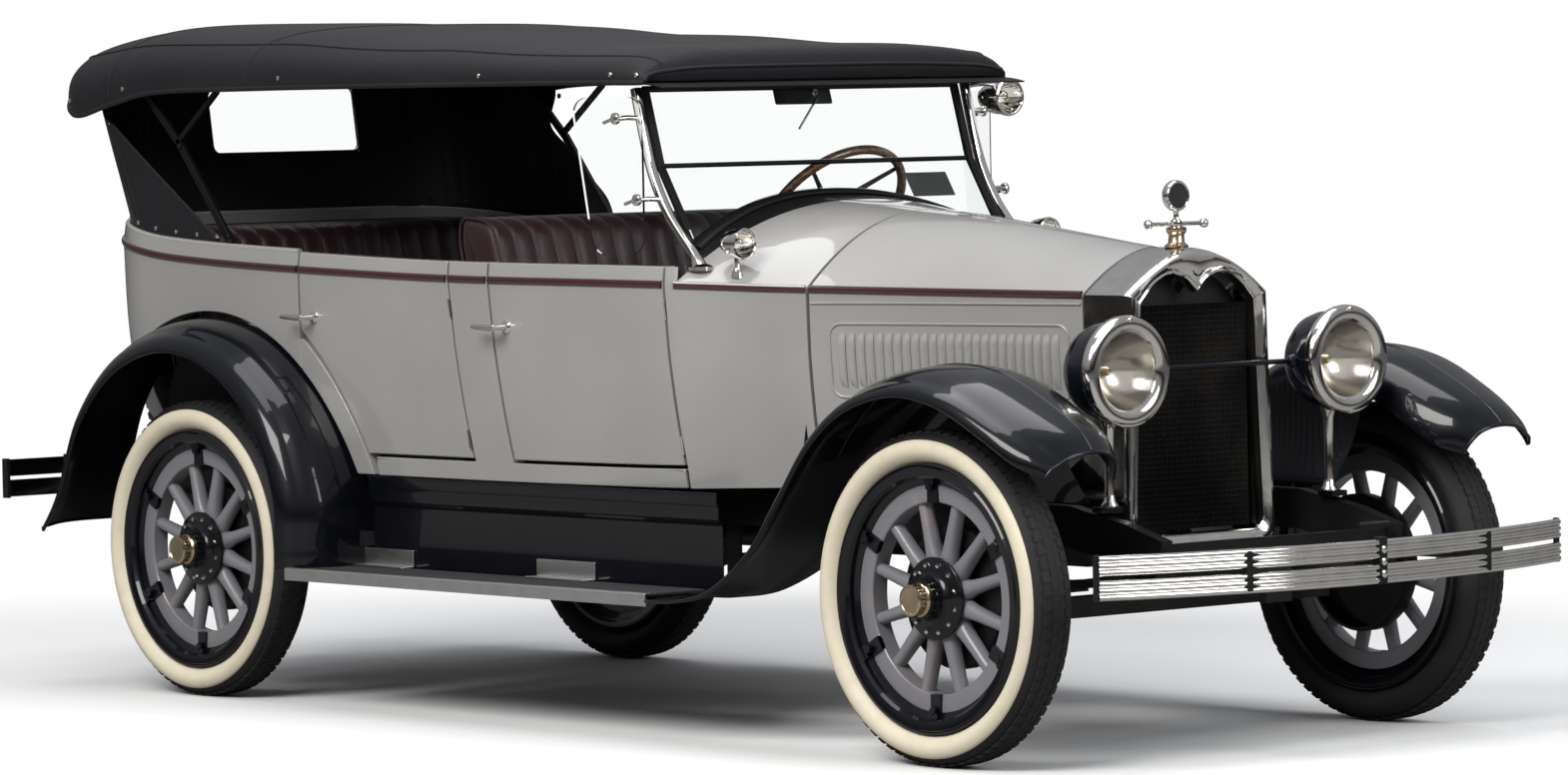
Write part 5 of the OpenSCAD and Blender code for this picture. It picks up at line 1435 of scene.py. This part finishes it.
bows = [bow(x, w, z - .016) for x, w, z in ((.240, .572, 1.662), (-.420, .642, 1.696),
                                            (-1.080, .660, 1.732), (-1.780, .666, 1.748))]
side_irons = [flat_bar((-1.345, 1.196), (-1.560, 1.450), -.660, .022),
              flat_bar((-1.560, 1.450), (-1.770, 1.640), -.660, .020),
              flat_bar((-1.572, 1.461), (-1.395, 1.592), -.660, .015),
              tube([(-1.088, -.640, 1.608), (-.410, -.634, 1.608)], .006, 12),
              tube([(-.420, -.634, 1.608), (.236, -.570, 1.606)], .006, 12)]
rivets = [lathe([(0, 0), (.008, 0), (.0075, .003), (.004, .005), (0, .0055)], (x, -.6605, z), "y", 20, -1)
          for x, z in ((-1.345, 1.196), (-1.560, 1.450), (-1.765, 1.636))]
piece("top_bow_irons", "car", "chassis", *bows, *[pair(p) for p in side_irons + rivets], slot="iron",
      replaces=("top_bows",), angle=50, bevel=.0008)

# ---- rear and quarter curtains ---------------------------------------------

# Columns from the front edge round the corner: x and half width at the foot and at the top, top z
CURTAIN = [(-1.372, .676, -1.378, .676, 1.204), (-1.450, .676, -1.480, .674, 1.268),
           (-1.530, .676, -1.600, .672, 1.342), (-1.610, .676, -1.720, .668, 1.416),
           (-1.680, .678, -1.830, .664, 1.486), (-1.752, .668, -1.915, .655, 1.538),
           (-1.819, .640, -1.966, .636, 1.590), (-1.877, .597, -1.996, .596, 1.632),
           (-1.920, .539, -2.010, .540, 1.645), (-1.948, .472, -2.016, .470, 1.652),
           (-1.958, .400, -2.020, .390, 1.655), (-1.958, .130, -2.020, .130, 1.655)]


def curtain_point(m, f, t, side=-1):
    """Point of the curtain: m columns along its run, share f of its height, t of its thickness inwards."""
    c = catmull(CURTAIN, m)
    a = min(max((m - 4) / 6, 0), 1) * math.pi / 2
    if side > 0 and m < 7:
        c = [c[0], c[1],
             *(v + (w - v) * max(m - 6, 0) for v, w in zip(catmull(LEFT_TOP, min(m, 6)), c[2:5]))]
    z0 = float(rim_z(c[0])) + .008
    ripple = .0022 * math.sin(11 * m) * math.sin(math.pi * f)
    return (c[0] + (c[2] - c[0]) * f + (t + ripple) * math.sin(a),
            side * (c[1] + (c[3] - c[1]) * f - (t + ripple) * math.cos(a)), z0 + (c[4] - z0) * f)


# Top x, half width and z of the left side's first seven columns
LEFT_TOP = [(-1.378, .676, 1.204), (-1.410, .676, 1.275), (-1.490, .676, 1.342), (-1.577, .676, 1.416),
            (-1.660, .676, 1.486), (-1.640, .676, 1.588), (-1.780, .668, 1.594)]
m_steps = np.linspace(0, 10.2, 70)
f_steps = np.linspace(0, 1, 22)


def half_curtain(side):
    grid = [[curtain_point(m, f, .0005, side) for m in m_steps] for f in f_steps]
    back = [[curtain_point(m, f, .0030, side) for m in m_steps] for f in f_steps]
    return shell(grid, back) if side < 0 else shell(back, grid)


def middle_curtain():
    """The straight back with its window cut out: four panels round the opening."""
    y_edge = .3833

    def panel(y0, y1, z_lo, z_hi, ny, nz):
        def pt(y, k, d):
            z = z_lo + (z_hi - z_lo) * k
            return curtain_glass_x(z) + d, y, z

        ys, ks = np.linspace(y0, y1, ny), np.linspace(0, 1, nz)
        return shell([[pt(y, k, .0005) for y in ys] for k in ks],
                     [[pt(y, k, .0030) for y in ys] for k in ks])

    return [panel(-y_edge, y_edge, BACK_LOW, 1.422, 24, 8), panel(-y_edge, y_edge, 1.604, BACK_TOP, 24, 4),
            panel(-y_edge, -.250, 1.422, 1.604, 5, 8), panel(.250, y_edge, 1.422, 1.604, 5, 8)]


curtain = piece("curtain_cloth", "car", "cloth", half_curtain(-1), half_curtain(1), *middle_curtain(),
                slot="top_cloth", replaces=("rear_curtain",), angle=60)
edgings = [tube([curtain_point(m, 1, .001, s) for m in np.linspace(0, 5, 40)], .0042, 10, up=(0, 1, 0))
           for s in (-1, 1)]
edgings += [tube([curtain_point(m, 0, .001, s) for m in np.linspace(0, 10.2, 60)], .0036, 8)
            for s in (-1, 1)]
edgings.append(seam_frame)
piece("curtain_binding", "car", "cloth", *edgings, slot="top_cloth", angle=60)
fasteners = []
for s in (-1, 1):
    for m in (.1, 1.2, 2.4, 3.6, 4.9, 6.2, 7.6, 9.0):
        x, y, z = curtain_point(m, .0, .001, s)
        fasteners.append(lathe(SNAP, (x, y, z + .014), "y" if m < 7 else "x", 16, s if m < 7 else -1))
    x, y, z = curtain_point(4.9, 1, .001, s)
    fasteners.append(lathe([(0, 0), (.0075, 0), (.007, .003), (.003, .005), (0, .0055)],
                           (x + .02, y, z - .016), "y", 16, s))
piece("curtain_fasteners", "car", "nickel", *fasteners, slot="nickel")

# ---- seats and interior ----------------------------------------------------


def upholstery(loop, half, channels, depth, r=0.024):
    """A closed side profile drawn across the car; points with flag 1 carry rounded channels."""
    pts = np.array([p[:2] for p in loop], float)
    flags = np.array([p[2] for p in loop], float)
    ahead, behind = np.roll(pts, -1, 0), np.roll(pts, 1, 0)
    d = ahead - behind
    nrm = np.stack([d[:, 1], -d[:, 0]], 1) / np.linalg.norm(d, axis=1)[:, None]
    area = np.sum(pts[:, 0] * ahead[:, 1] - ahead[:, 0] * pts[:, 1])
    nrm = nrm * np.sign(area)
    bend = r * (1 - np.cos(np.linspace(0, math.pi / 2, 7)))
    ys = np.unique(np.concatenate([np.linspace(-half, half, channels * 8 + 1), -half + bend, half - bend]))
    rows = []
    for y in ys:
        over = max(abs(y) - (half - r), 0) / r
        edge = r * (1 - math.sqrt(max(1 - over * over, 0)))
        wave = abs(math.sin(math.pi * channels * (y + half) / (2 * half))) ** .55
        sag = .004 * math.sin(3.1 * y + 1) * math.sin(2.2 * y)
        off = (depth * (wave - 1) + sag) * flags - edge
        rows.append([(px + nx * o, y, pz + nz * o) for (px, pz), (nx, nz), o in zip(pts, nrm, off)])
    m, w = len(rows), len(loop)
    return ([p for row in rows for p in row], grid_faces(m, w, wrap_v=True) + [
        tuple(range(w)), tuple((m - 1) * w + q for q in range(w))[::-1]])


def rounded_loop(corners, step=0.014):
    """Closed loop through corners (x, z, radius, flag) with rounded bends."""
    out = []
    n = len(corners)
    for i in range(n):
        p, q, s = (Vector(corners[(i + k) % n][:2]) for k in (-1, 0, 1))
        r, flag = corners[i][2], corners[i][3]
        a, b = (p - q).normalized(), (s - q).normalized()
        cut = min(r, (p - q).length * .49, (s - q).length * .49)
        start, end = q + a * cut, q + b * cut
        for k in range(7):
            t = k / 6
            v = start * (1 - t) ** 2 + q * 2 * t * (1 - t) + end * t * t
            out.append((v.x, v.y, flag))
        nxt = corners[(i + 1) % n]
        c2 = min(nxt[2], (s - q).length * .49)
        goal = s + (q - s).normalized() * c2
        straight = (goal - end).length
        m = int(straight / step)
        for k in range(1, m):
            v = end.lerp(goal, k / m)
            out.append((v.x, v.y, nxt[3] if flag else flag))
    return out


def seat(name, node, back, front_x, half, top, cushion, base):
    """A bench: x of its back and front, half width, and heights of its back, cushion and base."""
    low = cushion - .150
    pad = rounded_loop([(front_x - .006, low, .02, 0), (front_x, cushion - .004, .045, 1),
                        (back + .13, cushion - .022, .02, 1), (back + .13, low, .02, 0)])
    squab = rounded_loop([(back + .178, cushion - .150, .02, 0), (back + .158, cushion + .02, .05, 1),
                          (back + .066, top - .012, .045, 1), (back - .058, top, .035, 0),
                          (back - .068, top - .06, .03, 0), (back + .045, cushion - .150, .02, 0)])
    c = piece(name + "_cushion", "car", "leather", upholstery(pad, half - .004, 15, .011), slot="leather",
              angle=60, replaces=(node,))
    b = piece(name + "_squab", "car", "leather", upholstery(squab, half - .004, 17, .010), slot="leather",
              angle=60)
    case = block((back + .01, -half + .006, base), (front_x - .036, half - .006, cushion - .152))
    piece(name + "_base", "car", "dark_hide", case, slot="leather", bevel=.006)
    piping = [tube([(p[0], s * (half - .006), p[1]) for p in loop], .0035, 8, up=(0, 1, 0), closed=True)
              for loop in (pad, squab) for s in (-1, 1)]
    piece(name + "_piping", "car", "leather", *piping, slot="leather")


seat("front_seat", "front_seat", -.420, .090, .560, 1.262, .930, FLOOR_Z + .024)
seat("rear_seat", "rear_seat", -1.760, -1.190, .575, 1.235, .940, FLOOR_Z + .024)
piece("front_seat_back", "car", "leather",
      block((-.4915, -.548, FLOOR_Z + .03), (-.412, .548, .83)), slot="leather", bevel=.008)
lining_fs = np.linspace(.04, .955, 12)
piece("rear_body_lining", "car", "leather",
      shell([[rear_point(t, f, WALL + .0008) for t in ts[2:-2]] for f in lining_fs],
            [[rear_point(t, f, WALL + .0045) for t in ts[2:-2]] for f in lining_fs]), slot="leather",
      angle=60)
piece("rear_body_beading", "car", "grey",
      tube([(x, y, z + .0006) for x, y, z in [rear_point(t, 1, .008) for t in ts]], .0085, 12),
      slot="body_grey", angle=60)

dash_x = .460
dash = [(dash_x, .500 * math.cos(a), 1.040 + .205 * math.sin(a)) for a in np.linspace(0, math.pi, 48)]
piece("dashboard_panel", "car", "wood", plate(dash, (.016, 0, 0)), slot="iron", replaces=("dashboard",),
      bevel=.002)
bezels, dials = [], []
for y, z, r in ((0, 1.165, .052), (-.125, 1.150, .040), (.125, 1.150, .040), (-.225, 1.130, .026),
                (.225, 1.130, .026)):
    bezels.append(ring([(r - .006, .002), (r, .001), (r + .003, .006), (r, .012), (r - .005, .010)],
                       (dash_x, y, z), "x", 48, -1))
    dials.append(lathe([(0, .001), (r - .005, .001), (r - .005, .004), (0, .004)], (dash_x, y, z), "x", 40,
                       -1))
for y in (-.30, -.345, .30):
    bezels.append(lathe([(0, 0), (.009, 0), (.009, .006), (.005, .010), (.005, .024), (.011, .027),
                         (.011, .034), (0, .036)], (dash_x, y, 1.100), "x", 24, -1))
piece("dashboard_bezels", "car", "nickel", *bezels, slot="nickel")
piece("dashboard_dials", "car", "iron", *dials, slot="iron")

WHEEL_AT = Matrix.Translation((-.080, .350, 1.250)) @ Matrix.Rotation(math.radians(130), 4, "Y")
grip = [(.210 + .0118 * math.cos(a), .0125 * math.sin(a))
        for a in np.linspace(0, 2 * math.pi, 20, endpoint=False)]
piece("steering_wheel_rim", "steering_wheel", "wood", turned(ring(grip, (0, 0, 0), "z", 96), WHEEL_AT),
      slot="wood", replaces=("steering_wheel",), angle=60)
spider = []
for k in range(4):
    m = WHEEL_AT @ Matrix.Rotation(math.radians(45 + 90 * k), 4, "Z")
    path = [(.024, 0, -.010), (.070, 0, -.012), (.130, 0, -.008), (.203, 0, -.001)]
    arm = tube(spline(path, 5), .0062, 14, scale=[1.35 - .5 * i / 15 for i in range(16)])
    spider.append(turned(arm, m))
hub = lathe([(0, -.0215), (.030, -.0215), (.0315, -.012), (.0300, .012), (.024, .0215), (0, .0215)],
            (0, 0, 0), "z", 40)
spider.append(turned(hub, WHEEL_AT))
piece("steering_wheel_spider", "steering_wheel", "iron", *spider, slot="iron", angle=50)
button = lathe([(0, 0), (.0165, 0), (.0165, .004), (.012, .0065), (0, .007)], (0, 0, -.0215), "z", 32, -1)
piece("horn_button", "steering_wheel", "nickel", turned(button, WHEEL_AT), slot="nickel")

# ---- spare wheel -----------------------------------------------------------

SPARE_AT = Matrix.Translation((-2.104, 0, .800)) @ Matrix.Rotation(math.radians(-90), 4, "Z")
casing, cream, blocks = tyre_parts((0, 0, 0), 1)
piece("spare_casing", "car", "tyre", turned(casing, SPARE_AT), turned(blocks, SPARE_AT), slot="tyre",
      replaces=("spare_tyre",), angle=30)
piece("spare_whitewall", "car", "white", turned(cream, SPARE_AT), slot="whitewall", angle=60)
spare_felloe = ring([(.246, -.0215), (.246, .0215), (.2485, .0238), (.271, .0240), (.2735, .022),
                     (.2735, -.022), (.271, -.024), (.2485, -.0238)], (0, 0, 0), "y", 120, -1)
piece("spare_rim", "car", "black", turned(ring(RIM, (0, 0, 0), "y", 120, -1), SPARE_AT),
      turned(spare_felloe, SPARE_AT), slot="fender_black", replaces=("spare_wheel",), angle=35)
hold = [ring([(.236, 0), (.286, 0), (.286, .018), (.236, .018)], (-2.078, 0, .800), "x", 96)]
for s in (-1, 1):
    hold.append(block((-2.061, s * .150 - .019, .590), (-2.022, s * .150 + .019, .640)))
    hold.append(block((-2.034, s * .150 - .019, .487), (-2.021, s * .150 + .019, .640)))
    hold.append(block((-2.034, s * .150 - .019, .487), (-1.941, s * .150 + .019, .509)))
piece("spare_carrier_irons", "car", "chassis", *hold, slot="chassis_black", replaces=("spare_carrier",),
      bevel=.0025)
nuts = []
for k in range(6):
    a = math.radians(60 * k)
    nuts.append(lathe([(0, 0), (.012, 0), (.012, .009), (.009, .012), (0, .013)],
                      (-2.1285, .261 * math.cos(a), .800 + .261 * math.sin(a)), "x", 6, -1))
piece("spare_nuts", "car", "nickel", *nuts, slot="nickel", angle=30)

# ---- staging ---------------------------------------------------------------


def backdrop():
    """Pale floor that fades to plain white away from the car, so no horizon shows."""
    bpy.ops.mesh.primitive_plane_add(size=90, location=(0, 0, 0))
    floor = bpy.context.object
    floor.name = "floor"
    n = Net("floor_pale")
    by_camera = Sock(n, n.tree.nodes.new("ShaderNodeLightPath").outputs["Is Camera Ray"])
    pale = n.mix(n.ramp(n.noise(.7, 3), .3, .7), (.86, .86, .86), (.88, .88, .88))
    n.set(Base_Color=n.mix(by_camera, (.24, .235, .23), pale), Roughness=.75)
    x, y, _ = n.axes()
    fade = n.ramp((x * x + y * y * 1.6) ** 0.5, FADE[0], FADE[1]) * by_camera
    glow = n.tree.nodes.new("ShaderNodeEmission")
    both = n.tree.nodes.new("ShaderNodeMixShader")
    end = n.tree.nodes["Material Output"]
    n.feed(both.inputs[0], fade)
    for a, b in ((n.shader.outputs[0], both.inputs[1]), (glow.outputs[0], both.inputs[2]),
                 (both.outputs[0], end.inputs[0])):
        n.tree.links.new(a, b)
    floor.data.materials.append(n.mat)


FADE = (3.0, 5.2)
backdrop()
world = bpy.data.worlds.new("world")
SCENE.world = world
world.use_nodes = True
wt = world.node_tree
wt.nodes.clear()


def wnode(kind, settings=None, **inputs):
    n = wt.nodes.new(kind)
    for k, v in (settings or {}).items():
        setattr(n, k, v)
    for k, v in inputs.items():
        n.inputs[k].default_value = v
    return n


coords = wnode("ShaderNodeTexCoord")
split = wnode("ShaderNodeSeparateXYZ")
wt.links.new(coords.outputs["Generated"], split.inputs[0])
sky = wnode("ShaderNodeValToRGB")
wt.links.new(split.outputs[2], sky.inputs[0])
sky.color_ramp.elements[0].position, sky.color_ramp.elements[0].color = 0.0, (.04, .038, .036, 1)
sky.color_ramp.elements[1].position, sky.color_ramp.elements[1].color = .80, (.92, .96, 1.02, 1)
for pos, colour in ((.05, (.07, .062, .058, 1)), (.09, (.34, .31, .28, 1)), (.20, (.62, .61, .62, 1))):
    e = sky.color_ramp.elements.new(pos)
    e.color = colour
glow = wnode("ShaderNodeBackground", Strength=.42)
wt.links.new(sky.outputs[0], glow.inputs[0])
white = wnode("ShaderNodeBackground", Color=(1, 1, 1, 1), Strength=1.0)
ray = wnode("ShaderNodeLightPath")
pick = wnode("ShaderNodeMixShader")
seen = wnode("ShaderNodeMath", {"operation": "MAXIMUM"})
wt.links.new(ray.outputs["Is Camera Ray"], seen.inputs[0])
wt.links.new(ray.outputs["Is Transmission Ray"], seen.inputs[1])
wt.links.new(seen.outputs[0], pick.inputs[0])
wt.links.new(glow.outputs[0], pick.inputs[1])
wt.links.new(white.outputs[0], pick.inputs[2])
out = wnode("ShaderNodeOutputWorld")
wt.links.new(pick.outputs[0], out.inputs[0])


def softbox(name, place, target, size, power, tint=(1, 1, 1)):
    data = bpy.data.lights.new(name, "AREA")
    data.shape, data.size, data.size_y = "RECTANGLE", size[0], size[1]
    data.energy, data.color = power, tint
    obj = bpy.data.objects.new(name, data)
    SCENE.collection.objects.link(obj)
    obj.location = place
    obj.rotation_mode = "QUATERNION"
    obj.rotation_quaternion = (Vector(target) - Vector(place)).to_track_quat("-Z", "Y")


softbox("key", (2.5, -7.5, 6.5), (0, 0, .7), (6, 4), 900, (1, .985, .96))
softbox("side", (8.5, 1.5, 4.5), (.8, 0, .8), (4, 4), 330, (.96, .98, 1))
softbox("top", (-.5, 0, 8.0), (-.3, 0, 0), (7, 4), 300)

# ---- finishes for the CAD nodes that stay as they are --------------------------

SHOWN = {"chassis": "frame front_axle rear_axle fuel_tank",
         "iron": "leaf_springs engine exhaust knuckle_right knuckle_left tie_rod steering_column",
         "mat": "body_floor"}
for mat, names in SHOWN.items():
    for n in names.split():
        NODE[n].data.materials.clear()
        NODE[n].data.materials.append(M[mat])
SCENE.view_settings.view_transform = "Standard"
